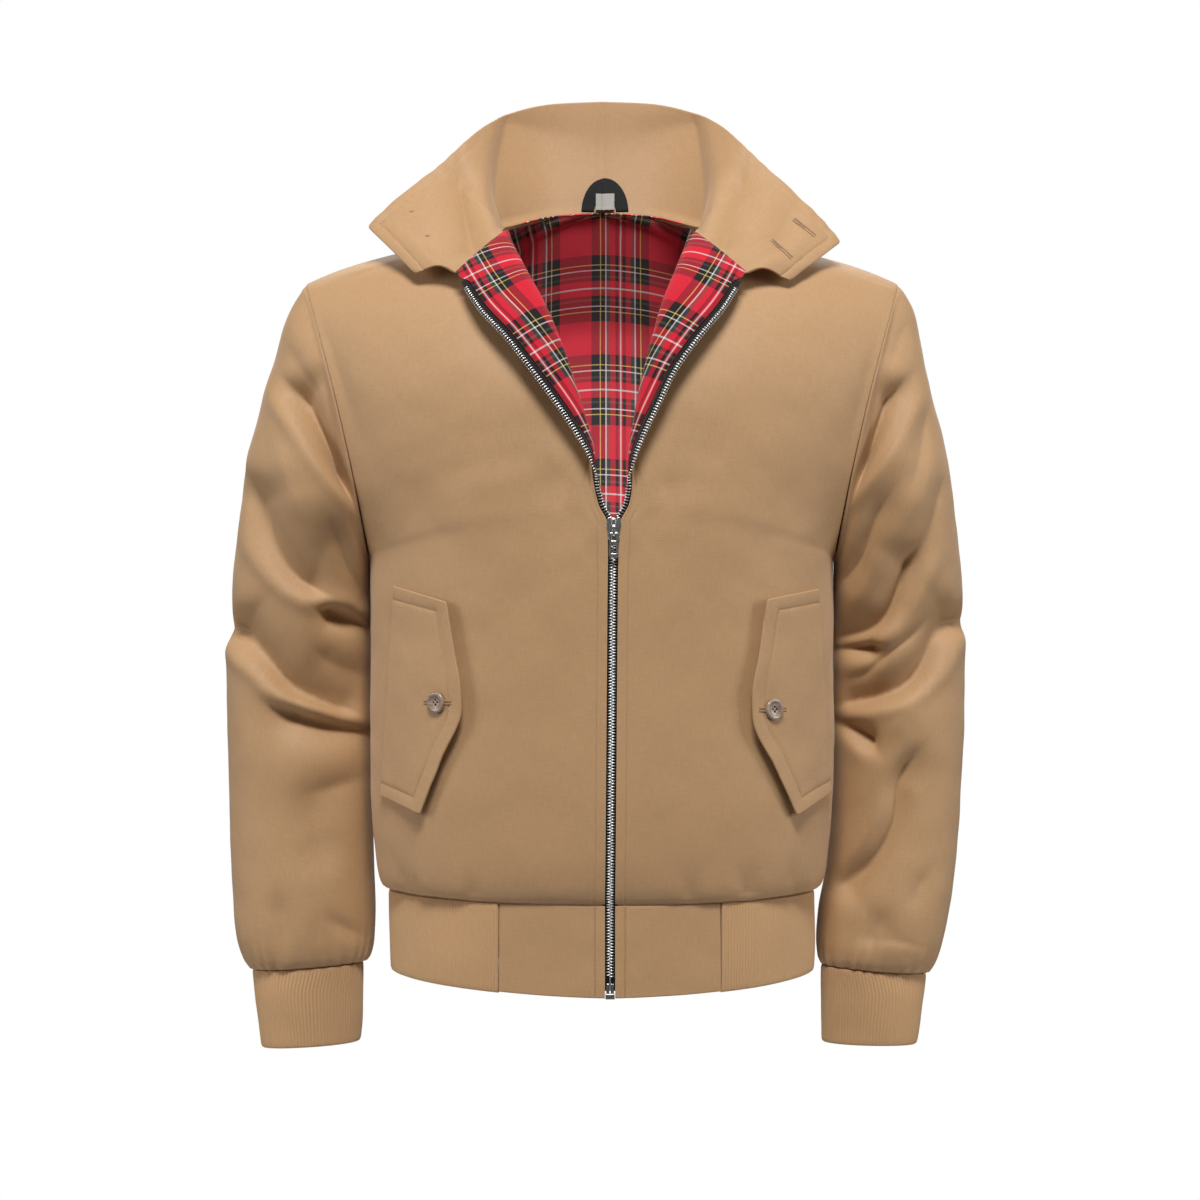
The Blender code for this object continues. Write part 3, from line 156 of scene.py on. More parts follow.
def bezier(handles, t):
    """Cubic curves, n by 4 handles, read at every t: n rows of points."""
    s = 1 - t
    weights = np.stack([s ** 3, 3 * s * s * t, 3 * s * t * t, t ** 3], -1)
    return np.einsum("mk,nkc->nmc", weights, handles)


def runs(rows):
    """The distance along each row of points."""
    steps = np.linalg.norm(np.diff(rows, axis=1), axis=2)
    return np.concatenate([np.zeros((len(rows), 1)), np.cumsum(steps, 1)], 1)


def along(rows, places):
    """The points of each row at these distances along it."""
    made = np.empty((len(rows), places.shape[1], 3))
    for row, run, place, out in zip(rows, runs(rows), places, made):
        for axis in range(3):
            out[:, axis] = np.interp(place, run, row[:, axis])
    return made


def normals(grid, sign=1):
    """The way out of a grid's surface at each point."""
    across = np.gradient(grid, axis=1)
    up = np.gradient(grid, axis=0)
    return unit(np.cross(across, up)) * sign


def fade(value, low, high):
    """0 below low, 1 above high, and a smooth step between."""
    t = np.clip((value - low) / (high - low), 0, 1)
    return t * t * (3 - 2 * t)


def spaced(length, start, end, count):
    """Distances along lines of these lengths: as listed near each end, even between."""
    length = np.asarray(length, float)[:, None]
    start, end = np.asarray(start, float)[None], np.asarray(end, float)[None][:, ::-1]
    share = np.linspace(0, 1, count + 2)[None, 1:-1]
    middle = start[:, -1:] + (length - end[:, :1] - start[:, -1:]) * share
    grow = np.ones_like(length)
    return np.concatenate([start * grow, middle, length - end * grow], 1)


# How near points of one mesh are welded
WELD = 0.01 * MM
FINE_WELD = 0.002 * MM
RIB_WELD = 0.005 * MM

# Close-set places at an edge, and how far from it doubled cloth is rounded
EDGE = np.array([0.0, 0.15, 0.4, 0.8, 1.4, 2.4]) * MM
ROUND_EDGE = 0.9 * MM


def stitch_steps(place):
    """Distances close together about a row of topstitching."""
    return place + np.array([-1.2, -0.7, -0.35, 0.0, 0.35, 0.7, 1.2]) * MM


def groove(distance, place, depth=0.45 * MM, width=0.75 * MM):
    """How far topstitching at this place pulls cloth down."""
    return depth * np.exp(-((distance - place) / width) ** 2)


def pressed(distance, place):
    """The share of its thickness that doubled cloth keeps under topstitching at this place."""
    return 1 - groove(distance, place, 0.5, 0.9 * MM)


def lumps(points, size, height, seed=0.0):
    """Soft uneven heights over a surface, so that no stretch of cloth is dead flat."""
    flat = points.reshape(-1, 3) / size
    shift = Vector((seed, 1.7 * seed, -seed))
    return np.array([noise.noise(Vector(p) + shift) for p in flat]).reshape(points.shape[:-1]) * height


# The sections of the body: side seam, front opening, chain and centre back by share of height
SIDE = Table("at x z", [
    (0, 0.183, -0.587),
    (0.012, 0.1885, -0.5835),
    (0.03, 0.1925, -0.573),
    (0.06, 0.195, -0.553),
    (0.12, 0.1975, -0.51),
    (0.25, 0.199, -0.42),
    (0.42, 0.1985, -0.305),
])
FRONT_IN = Table("at middle half y z turn drop reach", [
    (0, 0.0066, 0.011, -0.124, -0.591, 0, 0, 0.11),
    (0.03, 0.0067, 0.011, -0.129, -0.578, 0, 0, 0.115),
    (0.08, 0.007, 0.011, -0.1335, -0.55, 0, 0, 0.118),
    (0.18, 0.0075, 0.011, -0.136, -0.49, 0, 0, 0.12),
    (0.3, 0.0082, 0.011, -0.136, -0.4, 0, 0, 0.12),
    (0.42, 0.009, 0.011, -0.138, -0.31, 0, 0, 0.12),
    (0.47, 0.0096, 0.0114, -0.138, -0.278, 0, 0, 0.118),
    (0.5, 0.0096, 0.0165, -0.1378, -0.262, -0.01, 0.02, 0.114),
    (0.53, 0.009, 0.0185, -0.1373, -0.2473, -0.02, 0.04, 0.111),
    (0.57, 0.0081, 0.0184, -0.1362, -0.232, -0.04, 0.06, 0.107),
    (0.6, 0.0077, 0.0192, -0.1348, -0.217, -0.05, 0.08, 0.103),
    (0.635, 0.0068, 0.024, -0.1322, -0.1965, -0.08, 0.1, 0.097),
    (0.67, 0.0053, 0.0305, -0.129, -0.172, -0.1, 0.12, 0.092),
    (0.74, 0.0035, 0.0435, -0.118, -0.1293, -0.13, 0.15, 0.082),
    (0.81, 0.0011, 0.0551, -0.103, -0.095, -0.12, 0.17, 0.074),
    (0.87, -0.001, 0.069, -0.082, -0.0645, -0.06, 0.2, 0.066),
    (0.93, -0.0025, 0.083, -0.047, -0.0316, 0, 0.26, 0.058),
    (1, 0, 0.0865, 0.011, -0.02, 0, 0.28, 0.06),
])
CHAIN = Table("at middle half y z curl", [
    (0, 0.0066, 0, -0.124, -0.591, 0.003),
    (0.03, 0.0067, 0, -0.129, -0.578, 0.003),
    (0.08, 0.007, 0, -0.1335, -0.55, 0.003),
    (0.18, 0.0075, 0, -0.136, -0.49, 0.003),
    (0.3, 0.0082, 0, -0.136, -0.4, 0.003),
    (0.42, 0.009, 0, -0.138, -0.31, 0.003),
    (0.47, 0.0096, 0.0008, -0.1381, -0.278, 0.003),
    (0.5, 0.0096, 0.0084, -0.1394, -0.262, 0.003),
    (0.53, 0.0092, 0.0126, -0.143, -0.2475, 0.0018),
    (0.57, 0.0087, 0.0175, -0.1462, -0.234, 0.0015),
    (0.6, 0.0083, 0.0207, -0.1468, -0.223, 0.002),
    (0.635, 0.007, 0.0283, -0.146, -0.2065, 0.003),
    (0.67, 0.0049, 0.0415, -0.144, -0.183, 0.0045),
    (0.74, 0.0011, 0.0618, -0.14, -0.15, 0.006),
    (0.81, 0.0004, 0.0802, -0.133, -0.1253, 0.006),
    (0.87, -0.0006, 0.1008, -0.1185, -0.1012, 0.006),
    (0.93, -0.0008, 0.1206, -0.0945, -0.069, 0.006),
])
BACK_IN = Table("at x y z turn drop reach", [
    (0, 0, 0.099, -0.587, 0, 0, 0.105),
    (0.03, 0, 0.105, -0.575, 0, 0, 0.11),
    (0.08, 0, 0.11, -0.55, 0, 0, 0.112),
    (0.18, 0, 0.112, -0.49, 0, 0, 0.115),
    (0.3, 0, 0.112, -0.4, 0, 0, 0.115),
    (0.42, 0, 0.122, -0.315, 0, 0, 0.115),
    (0.52, 0, 0.132, -0.235, 0, 0, 0.112),
    (0.62, 0, 0.136, -0.165, 0, 0.02, 0.108),
    (0.7, 0, 0.129, -0.105, 0, 0.05, 0.1),
    (0.76, 0, 0.106, -0.055, 0, 0.1, 0.09),
    (0.82, 0, 0.0725, -0.0005, 0.04, 0.16, 0.08),
    (0.88, 0.042, 0.065, -0.004, 0.1, 0.24, 0.07),
    (0.94, 0.073, 0.041, -0.0135, 0.06, 0.3, 0.058),
    (1, 0.0865, 0.011, -0.02, 0, 0.28, 0.06),
])
ROW_END = Table("at angle fall front back", [
    (0, 90, 0, 0.07, 0.058),
    (0.42, 90, 0, 0.076, 0.07),
    (0.47, 80, 0, 0.072, 0.072),
    (0.53, 68, 0, 0.062, 0.07),
    (0.6, 55, 1, 0.055, 0.066),
    (0.67, 46, 3, 0.052, 0.062),
    (0.74, 38, 6, 0.05, 0.058),
    (0.81, 30, 10, 0.048, 0.055),
    (0.87, 22, 14, 0.048, 0.052),
    (0.93, 12, 23, 0.052, 0.054),
    (1, 0, 27, 0.06, 0.06),
])


def armhole(turn, face):
    """Points of the wearer's left armhole: turn 0 is the underarm and 1 the shoulder; face -1 front, 1 back."""
    angle = np.pi * turn
    bulge = np.sin(angle)
    middle, rise = (SHOULDER_POINT + UNDERARM_POINT) / 2, (SHOULDER_POINT - UNDERARM_POINT) / 2
    return (middle - rise * np.cos(angle)[:, None]
            + xyz(-ARMHOLE_HOLLOW * bulge ** 2, face * ARMHOLE_DEPTH[face] * bulge, 0))


def outer_boundary(at, face):
    """The side seam up to the underarm, then the front or back half of the armhole up to the shoulder."""
    seam = SIDE.at(at)
    turn = np.clip((at - UNDERARM_AT) / (1 - UNDERARM_AT), 0, 1)
    return np.where((at <= UNDERARM_AT)[:, None], xyz(seam["x"], 0, seam["z"]), armhole(turn, face))


def body_row(side, at, face, start, row):
    """Handles of the curves that run across the body from their start to the side."""
    end = ROW_END.at(at)
    angle, fall = np.radians(end["angle"]), np.radians(end["fall"])
    way_in = unit(xyz(np.cos(angle) * np.cos(fall), -face * np.sin(angle), -np.sin(fall)))
    last = outer_boundary(at, face)
    last_handle = last - way_in * end["front" if face < 0 else "back"][:, None]
    way = unit(xyz(np.ones_like(at), row["turn"], -row["drop"]))
    handles = np.stack([start, start + way * row["reach"][:, None], last_handle, last], 1)
    return handles * (side, 1, 1)


def front_row(side, at):
    row = FRONT_IN.at(at)
    return body_row(side, at, -1, xyz(row["half"] + row["middle"] * side, row["y"], row["z"]), row)


def back_row(side, at):
    row = BACK_IN.at(at)
    return body_row(side, at, 1, xyz(row["x"], row["y"], row["z"]), row)


def lapel_row(side, at):
    """Handles of the curves from the roll line round to the middle of the zip's chain."""
    front = front_row(side, at)
    start, handle = front[:, 0], front[:, 1]
    row = CHAIN.at(at)
    chain = xyz((row["half"] + row["middle"] * side) * side, row["y"], row["z"])
    inwards = unit(start - handle) * row["curl"][:, None]
    forwards = xyz(0, np.minimum(0.0, chain[:, 1] - start[:, 1]), 0)
    return np.stack([start, start + inwards, start + inwards + forwards * 0.7, chain], 1)


# Folds, charted as they are seen from the front: a path on the chart, a depth, and the width of the
# slope on the path's left and right, walking from its first point to its last. A lip is a ridge on that side.
FOLD_COLUMNS = "depth left right left_lip right_lip start end".split()
SLEEVE_FOLDS = {
    # the wearer's right sleeve, front
    (-1, -1): [
        (5, 15, 15, 0.4, 0.4, 0.35, 0.4, [(280, 336), (298, 372), (318, 398)]),
        (24, 24, 6, 0, 2.4, 0.22, 0.04, [(276, 372), (284, 390), (304, 420), (324, 450),
                                         (342, 474), (366, 500)]),
        (15, 25, 5.5, 0, 2, 0.22, 0.22, [(243, 462), (251, 505), (262, 543), (283, 573),
                                         (308, 590), (346, 600)]),
        (10, 15, 22, 0.8, 0, 0.45, 0.1, [(322, 505), (340, 545), (354, 580), (372, 604)]),
        (19, 7, 12, 2.4, 0, 0.35, 0.03, [(312, 608), (330, 616), (352, 622), (384, 634)]),
        (8, 20, 22, 0, 0, 0.45, 0.1, [(300, 640), (334, 664), (376, 680)]),
        (19, 24, 5.5, 0, 2.6, 0.06, 0.14, [(224, 622), (240, 642), (262, 664), (290, 690),
                                           (326, 703), (370, 717)]),
        (19, 7, 18, 2.6, 0, 0.35, 0.03, [(252, 700), (280, 712), (312, 721), (345, 728), (386, 740)]),
        (4, 9, 9, 0.4, 0.4, 0.4, 0.4, [(272, 880), (282, 925), (285, 968)]),
        (3.4, 5, 9, 0.3, 0, 0.4, 0.4, [(325, 915), (350, 930), (370, 938)]),
        (6, 26, 26, 0, 0, 0.4, 0.4, [(300, 770), (318, 830), (330, 890)]),
        (7, 14, 20, 0, 0, 0.45, 0.08, [(290, 796), (330, 790), (384, 770)]),
        (-5, 22, 20, 0, 0, 0.4, 0.4, [(270, 430), (292, 486), (312, 540)]),
    ],
    # the wearer's left sleeve, front
    (1, -1): [
        (5, 12, 12, 0.3, 0.3, 0.4, 0.4, [(914, 312), (900, 348), (888, 376)]),
        (22, 6, 22, 2.2, 0, 0.25, 0.04, [(914, 372), (898, 402), (884, 430), (866, 458), (838, 492)]),
        (3.4, 3.5, 4.5, 0.9, 0.5, 0.3, 0.3, [(919, 361), (911, 396), (901, 424), (887, 448),
                                             (865, 480), (846, 500)]),
        (3, 4, 8, 0.7, 0.4, 0.3, 0.3, [(931, 400), (927, 424), (922, 451), (915, 474), (907, 500)]),
        (3.4, 4, 6, 0.8, 0.4, 0.2, 0.2, [(943, 465), (937, 501), (932, 531), (927, 557),
                                         (917, 585), (905, 613), (892, 640)]),
        (11, 10, 20, 0.9, 0, 0.45, 0.12, [(906, 462), (890, 498), (874, 530), (856, 566), (832, 592)]),
        (17, 5.5, 23, 2, 0, 0.22, 0.08, [(925, 538), (914, 568), (900, 598), (886, 620),
                                         (866, 632), (832, 640)]),
        (18, 7, 7, 1.6, 0.8, 0.22, 0.03, [(874, 650), (856, 651), (826, 650)]),
        (18, 5.5, 23, 2.4, 0, 0.06, 0.12, [(965, 618), (948, 634), (938, 654), (925, 674),
                                           (906, 688), (880, 697), (830, 706)]),
        (3.4, 4, 4, 0.7, 0.4, 0.3, 0.3, [(938, 616), (925, 628), (910, 639), (884, 657),
                                         (861, 675), (838, 685)]),
        (16, 6, 9, 1.8, 0, 0.25, 0.03, [(874, 748), (856, 732), (828, 720)]),
        (13, 18, 8, 0, 1.2, 0.25, 0.12, [(932, 738), (912, 760), (896, 785), (897, 806),
                                         (888, 833), (872, 857), (850, 875), (826, 895)]),
        (6, 19, 19, 0, 0, 0.4, 0.4, [(895, 910), (877, 925), (868, 938), (878, 958)]),
        (3.6, 8, 8, 0.3, 0.3, 0.4, 0.4, [(936, 865), (918, 890), (912, 918)]),
        (-5, 22, 24, 0, 0, 0.4, 0.4, [(936, 430), (916, 500), (900, 540)]),
        (-4, 20, 20, 0, 0, 0.4, 0.4, [(930, 700), (900, 722), (884, 744)]),
    ],
    # the back of the wearer's right sleeve
    (-1, 1): [
        (7.2, 19.8, 19.8, 0.4, 0.4, 0.35, 0.4, [(290, 330), (306, 372), (334, 410), (352, 440)]),
        (14.6, 7, 26.4, 1.1, 0, 0.3, 0.2, [(270, 405), (300, 452), (334, 490), (366, 520)]),
        (13.4, 24.8, 7, 0, 1.3, 0.3, 0.2, [(240, 500), (268, 560), (310, 590), (370, 600)]),
        (17.1, 26.4, 7, 0, 1.4, 0.1, 0.25, [(226, 624), (252, 646), (290, 664), (340, 676), (380, 678)]),
        (15.9, 8, 9, 0.9, 0.5, 0.35, 0.15, [(250, 722), (292, 722), (330, 712), (376, 700)]),
        (7.2, 29.7, 29.7, 0, 0, 0.4, 0.4, [(262, 780), (292, 828), (322, 896)]),
        (3.1, 8, 8, 0.3, 0.3, 0.4, 0.4, [(300, 905), (304, 935), (302, 968)]),
    ],
    # the back of the wearer's left sleeve
    (1, 1): [
        (7.2, 19.8, 19.8, 0.4, 0.4, 0.35, 0.4, [(906, 335), (892, 372), (868, 412), (850, 440)]),
        (14.6, 24.8, 7, 0, 1.1, 0.3, 0.2, [(928, 410), (902, 455), (872, 492), (838, 520)]),
        (13.4, 7, 24.8, 1.1, 0, 0.3, 0.2, [(946, 505), (922, 556), (884, 588), (834, 600)]),
        (17.1, 7, 26.4, 1.4, 0, 0.1, 0.25, [(961, 622), (940, 644), (900, 662), (836, 678)]),
        (14.6, 9, 8, 0.7, 0.7, 0.35, 0.15, [(940, 722), (902, 720), (870, 710), (832, 698)]),
        (7.2, 29.7, 29.7, 0, 0, 0.4, 0.4, [(936, 776), (908, 826), (876, 892)]),
        (3.1, 8, 8, 0.3, 0.3, 0.4, 0.4, [(892, 905), (888, 935), (890, 962)]),
    ],
}
BODY_FOLDS = {
    # both fronts: the pull of the zip beside its slider, drag below the shoulders, gathers over the hem band
    (0, -1): [
        (2.9, 10, 16, 0.4, 0, 0.4, 0.15, [(540, 452), (566, 486), (592, 514), (601, 526)]),
        (2.4, 16, 10, 0, 0.4, 0.4, 0.15, [(678, 462), (660, 490), (636, 512), (624, 524)]),
        (4, 14, 22, 0, 0, 0.3, 0.4, [(310, 300), (326, 350), (352, 420), (372, 480)]),
        (3.5, 20, 12, 0, 0, 0.3, 0.4, [(900, 306), (884, 356), (862, 420), (846, 476)]),
        (2.9, 26, 26, 0, 0, 0.4, 0.4, [(400, 470), (430, 520), (452, 570)]),
        (2.6, 26, 26, 0, 0, 0.4, 0.4, [(800, 460), (776, 520), (764, 580)]),
        (2.9, 5, 5, 0.7, 0.5, 0.5, 0.1, [(398, 868), (402, 880), (404, 896)]),
        (2.2, 4, 5, 0.5, 0.5, 0.5, 0.1, [(413, 874), (415, 884), (416, 897)]),
        (2.9, 5, 5, 0.7, 0.5, 0.5, 0.1, [(742, 872), (745, 884), (747, 904)]),
        (2.2, 4, 5, 0.5, 0.5, 0.5, 0.1, [(757, 870), (757, 884), (758, 902)]),
        (1.9, 5, 5, 0.5, 0.4, 0.5, 0.1, [(793, 864), (794, 878), (795, 892)]),
        (1.9, 6, 6, 0.4, 0.4, 0.5, 0.1, [(470, 878), (473, 890), (474, 904)]),
        (1.6, 6, 6, 0.4, 0.4, 0.5, 0.1, [(688, 880), (690, 892), (690, 906)]),
    ],
    # the back: drag between the shoulders and the underarms, and gathers over the band
    (0, 1): [
        (4.8, 20, 26, 0, 0, 0.4, 0.4, [(350, 330), (392, 410), (420, 500)]),
        (4.8, 26, 20, 0, 0, 0.4, 0.4, [(852, 330), (812, 410), (786, 500)]),
        (4.2, 30, 24, 0, 0, 0.4, 0.4, [(430, 560), (520, 640), (560, 740)]),
        (3.8, 24, 30, 0, 0, 0.4, 0.4, [(770, 540), (700, 640), (650, 760)]),
        (4.5, 20, 20, 0.4, 0.4, 0.4, 0.3, [(402, 700), (440, 770), (452, 850)]),
        (4.5, 20, 20, 0.4, 0.4, 0.4, 0.3, [(802, 700), (768, 780), (752, 850)]),
    ],
}


def back_gathers():
    """Gathers of the back over the hem band, uneven in place, depth and width."""
    made = []
    for k in range(9):
        x = 420 + 44 * k + 9 * math.sin(2.3 * k)
        tall = 26 + 10 * math.sin(1.7 * k + 0.6)
        made.append((2.6 + 0.8 * math.sin(3.1 * k), 6.0, 7.0, 0.6, 0.5, 0.55, 0.10,
                     [(x + 4 * math.cos(k), 886 - tall), (x, 874), (x, 892)]))
    return made


def chart(points):
    """Where points are seen on the chart, across and down."""
    scale = (VIEW_DISTANCE + points[..., 1]) / CHART_FOCAL
    middle = CHART_SQUARES / 2
    return np.stack([middle + (points[..., 0] - VIEW_ACROSS) / scale,
                     middle - (points[..., 2] - VIEW_HEIGHT) / scale], -1)


def smooth_path(points, count=60):
    """A smooth line through a few points, evenly sampled."""
    points = np.array(points, float)
    whole = np.concatenate([2 * points[:1] - points[1:2], points, 2 * points[-1:] - points[-2:-1]])
    line = []
    for k in range(len(points) - 1):
        a, b, c, d = whole[k:k + 4]
        t = np.linspace(0, 1, 24, endpoint=False)[:, None]
        line.append(0.5 * (2 * b + (c - a) * t + (2 * a - 5 * b + 4 * c - d) * t ** 2
                           + (3 * b - a - 3 * c + d) * t ** 3))
    line = np.concatenate([*line, points[-1:]])
    run = np.concatenate([[0], np.cumsum(np.linalg.norm(np.diff(line, axis=0), axis=1))])
    even = np.linspace(0, run[-1], count)
    return np.stack([np.interp(even, run, line[:, 0]), np.interp(even, run, line[:, 1])], -1)


def fold_depth(points, ways, folds, face):
    """How far folds on one face sink each point: points and ways are n by 3."""
    places = chart(points)
    square = VIEW_DISTANCE / CHART_FOCAL
    facing = fade(face * ways[:, 1], *FOLD_FACING)
    total = np.zeros(len(points))
    for *numbers, path in folds:
        fold = dict(zip(FOLD_COLUMNS, numbers))
        line = smooth_path(path)
        way = unit(np.gradient(line, axis=0))
        reach = FOLD_REACH * max(fold["left"], fold["right"]) * MM / square
        low, high = line.min(0) - reach, line.max(0) + reach
        near = np.flatnonzero(((places > low) & (places < high)).all(1) & (facing > 0))
        if not len(near):
            continue
        away = places[near, None, :] - line[None]
        apart = (away ** 2).sum(-1)
        share = np.exp(-(apart - apart.min(1, keepdims=True)) / (2 * FOLD_BLEND ** 2))
        share = share / share.sum(1, keepdims=True)
        off = (away * share[..., None]).sum(1)
        direction = unit((way[None] * share[..., None]).sum(1))
        side = (off[:, 0] * direction[:, 1] - off[:, 1] * direction[:, 0]) * square / MM
        past = (off * direction).sum(1) * square / MM
        t = share @ np.linspace(0, 1, len(line))
        width = np.where(side > 0, fold["left"], fold["right"])
        lip = np.where(side > 0, fold["left_lip"], fold["right_lip"])
        size = np.abs(side) / width
        shape = fold["depth"] * np.exp(-size ** FOLD_POWER)
        shape = shape - lip * np.exp(-((np.abs(side) - width - LIP_WIDTH) / LIP_WIDTH) ** 2)
        ends = fade(t, 0, fold["start"]) * fade(1 - t, 0, fold["end"]) * np.exp(-(past / FOLD_END) ** 2)
        total[near] += shape * ends * facing[near] * MM
    return total


def folded(grid, out, tables, still):
    """A grid with its folds sunk in, and soft lumps; still is 0 on points that may not move and 1 elsewhere."""
    points, ways = grid.reshape(-1, 3), out.reshape(-1, 3)
    depth = sum(fold_depth(points, ways, folds, face) for face, folds in tables)
    depth = depth.reshape(grid.shape[:-1])
    for lump in HUNG_LUMPS:
        depth = depth - lumps(grid, *lump)
    return grid - out * (depth * still)[..., None]


# Meshes
def quads(rows, columns):
    """The four corners of each face of a grid."""
    index = np.arange(rows * columns).reshape(rows, columns)
    return np.stack([index[:-1, :-1], index[:-1, 1:], index[1:, 1:], index[1:, :-1]], -1).reshape(-1, 4)


def lay_uv(data, uvs):
    """Gives a mesh the uv of its points, in metres."""
    layer = data.uv_layers.new(name="cloth")
    corners = np.empty(len(data.loops), int)
    data.loops.foreach_get("vertex_index", corners)
    layer.data.foreach_set("uv", uvs[corners].astype(np.float32).ravel())


def woven(name, parts, material, weld=WELD):
    """A smooth mesh from grids, each with its uv in metres and the sign of its facing. Equal points are welded."""
    points, faces, uvs, base = [], [], [], 0
    for grid, uv, sign in parts:
        made = base + quads(*grid.shape[:2])
        faces.append(made if sign > 0 else made[:, ::-1])
        points.append(grid.reshape(-1, 3))
        uvs.append(uv.reshape(-1, 2))
        base += len(points[-1])
    data = bpy.data.meshes.new(name)
    data.from_pydata(np.concatenate(points).tolist(), [], np.concatenate(faces).tolist())
    lay_uv(data, np.concatenate(uvs))
    mesh = bmesh.new()
    mesh.from_mesh(data)
    bmesh.ops.remove_doubles(mesh, verts=mesh.verts, dist=weld)
    bmesh.ops.dissolve_degenerate(mesh, edges=mesh.edges, dist=weld)
    mesh.to_mesh(data)
    mesh.free()
    data.shade_smooth()
    return placed(name, data, material)


def placed(name, data, material=None):
    """A mesh as an object of the scene, with one material unless its tree gives it one."""
    made = bpy.data.objects.new(name, data)
    if material and not data.materials:
        data.materials.append(material)
    bpy.context.scene.collection.objects.link(made)
    return made


def walled(item, wall):
    """Gives an open surface its wall, inwards from the face that shows."""
    modifier = item.modifiers.new("wall", "SOLIDIFY")
    modifier.thickness = wall
    modifier.offset = -1
    modifier.use_rim = True
    return item


def doubled(name, grid, uv, thick, sign, material):
    """A closed piece of two layers about a middle surface. thick is its thickness at each point."""
    out = normals(grid, sign) * (thick / 2)[..., None]
    item = woven(name, [(grid + out, uv, sign), (grid - out, uv, -sign)], material, FINE_WELD)
    mesh = bmesh.new()
    mesh.from_mesh(item.data)
    bmesh.ops.holes_fill(mesh, edges=[edge for edge in mesh.edges if edge.is_boundary], sides=0)
    mesh.to_mesh(item.data)
    mesh.free()
    return item


def rounded(distance, thickness):
    """The thickness of doubled cloth at this distance from its edge."""
    inside = np.clip(distance / ROUND_EDGE, 0, 1)
    return thickness * np.sqrt(np.clip(1 - (1 - inside) ** 2, 0, 1))


def facing_front(grid):
    """1 for a grid whose surface faces the front at its middle, and -1 for one that faces the back."""
    return 1 if normals(grid)[len(grid) // 2, grid.shape[1] // 2, 1] < 0 else -1


def ribbon(name, grid, thickness, finish):
    """A closed strip about a middle surface, with rounded edges."""
    uv = np.stack([runs(grid), edge_distances(grid)[0]], -1)
    return doubled(name, grid, uv, rounded(edge_distance(grid), thickness), facing_front(grid), finish)


def dress(item, slot, *nodes, body=JACKET):
    """Puts a finished piece on its body and hides the solids that it stands for; slot, the name of its finish, is
    not used.
    """
    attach(item, body)
    if nodes:
        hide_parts(*nodes)
    return item


class Surface:
    """A grid's surface, read by looking along Y at a place in front of it."""

    def __init__(self, grid):
        faces = quads(*grid.shape[:2])
        self.tree = BVHTree.FromPolygons(grid.reshape(-1, 3).tolist(), faces.tolist())

    def at(self, x, z, off=0.0):
        """The point seen at (x, z), moved off the surface towards the front, and the way out there."""
        point, normal, _, _ = self.tree.ray_cast(Vector((x, -1, z)), Vector((0, 1, 0)))
        if point is None:
            point, normal, _, _ = self.tree.find_nearest(Vector((x, -0.1, z)))
        if normal.y > 0:
            normal.negate()
        return point + normal * off, normal


# Fronts, back and lining
DENSE = 420


def levels_of(below, *above):
    """A panel's levels: close-set at the hem, then spans of even ones, each with its end and its count."""
    spans, start = [[0, 0.003, 0.006, 0.012], np.linspace(0.018, UNDERARM_AT, below)], UNDERARM_AT
    for end, count in above:
        spans.append(np.linspace(start, end, count))
        start = end
    return np.unique(np.round(np.concatenate(spans), 5))


FRONT_LEVELS = levels_of(58, (0.53, 26), (ROLL_TOP_AT, 66))
NECK_LEVELS = np.linspace(ROLL_TOP_AT, 1, 12)
STRIP_COLUMNS = 24
FRONT_COLUMNS = 62
BACK_LEVELS = levels_of(48, (NECK_BACK_AT, 58))
BACK_NECK_LEVELS = np.linspace(NECK_BACK_AT, 1, 22)
BACK_COLUMNS = 60
ZIP_STITCH = 12.4 * MM
ZIP_STITCH_TOP = 0.47
SEAM_ROLL = 2.2 * MM
SEAM_SINK = 0.9 * MM
ZIP_ROLL = 0.8 * MM
ZIP_SINK = 0.5 * MM
# Where cloth is free to fold, from the hem, the side and the chain, and where its underarm crease is evened out
FREE_HEM = 7 * MM
FREE_SIDE = 8 * MM
FREE_CHAIN = (16 * MM, 40 * MM)
CREASE_REACH = 0.05
CREASE_SIDE = (1 * MM, 25 * MM)
CREASE_CHAIN = (60 * MM, 100 * MM)
SHOULDER_BLADES_AT = 0.62
# How far an edge runs on and inwards into a seam: the hem behind its band, a sleeve into its armhole
LAP_REACH = 3 * MM
HEM_LAP = (4.5 * MM, 1.6 * MM)
SLEEVE_LAP = (2.2 * MM, 1.5 * MM)


def seam_sink(distance):
    """How far a panel's edge turns down into its seam."""
    return SEAM_SINK * (1 - np.clip(distance / SEAM_ROLL, 0, 1)) ** 2


def shell_edge(levels):
    """How far the shell's edge lies from the middle of the chain."""
    return np.full(len(levels), ZIP_HALF)


def lining_edge(levels):
    """How far the lining's edge lies from the middle of the chain: it covers the zip's turned end at the top."""
    beside = ZIP_HALF + TAPE_UNDER + TAPE_TO_LINING
    return beside + (LINING_TOP_EDGE - beside) * fade(levels, *LINING_TOP_AT)


def sunk_rows(row, side, levels, depth, face):
    """A panel's dense rows from the middle to the side, at a depth below the shell's face."""
    rows = bezier(row(side, levels), np.linspace(0, 1, DENSE))
    return rows + normals(rows, side) * (face * depth)


def opened_rows(side, levels, depth, reach=DENSE):
    """A front's dense rows from the chain, round the roll line, and on as far as reach."""
    turned = bezier(lapel_row(side, levels), np.linspace(1, 0, DENSE))
    body = bezier(front_row(side, levels), np.linspace(0, 1, DENSE))
    whole = np.concatenate([turned[:, :-1], body[:, :reach]], 1)
    return whole - normals(whole, side) * depth


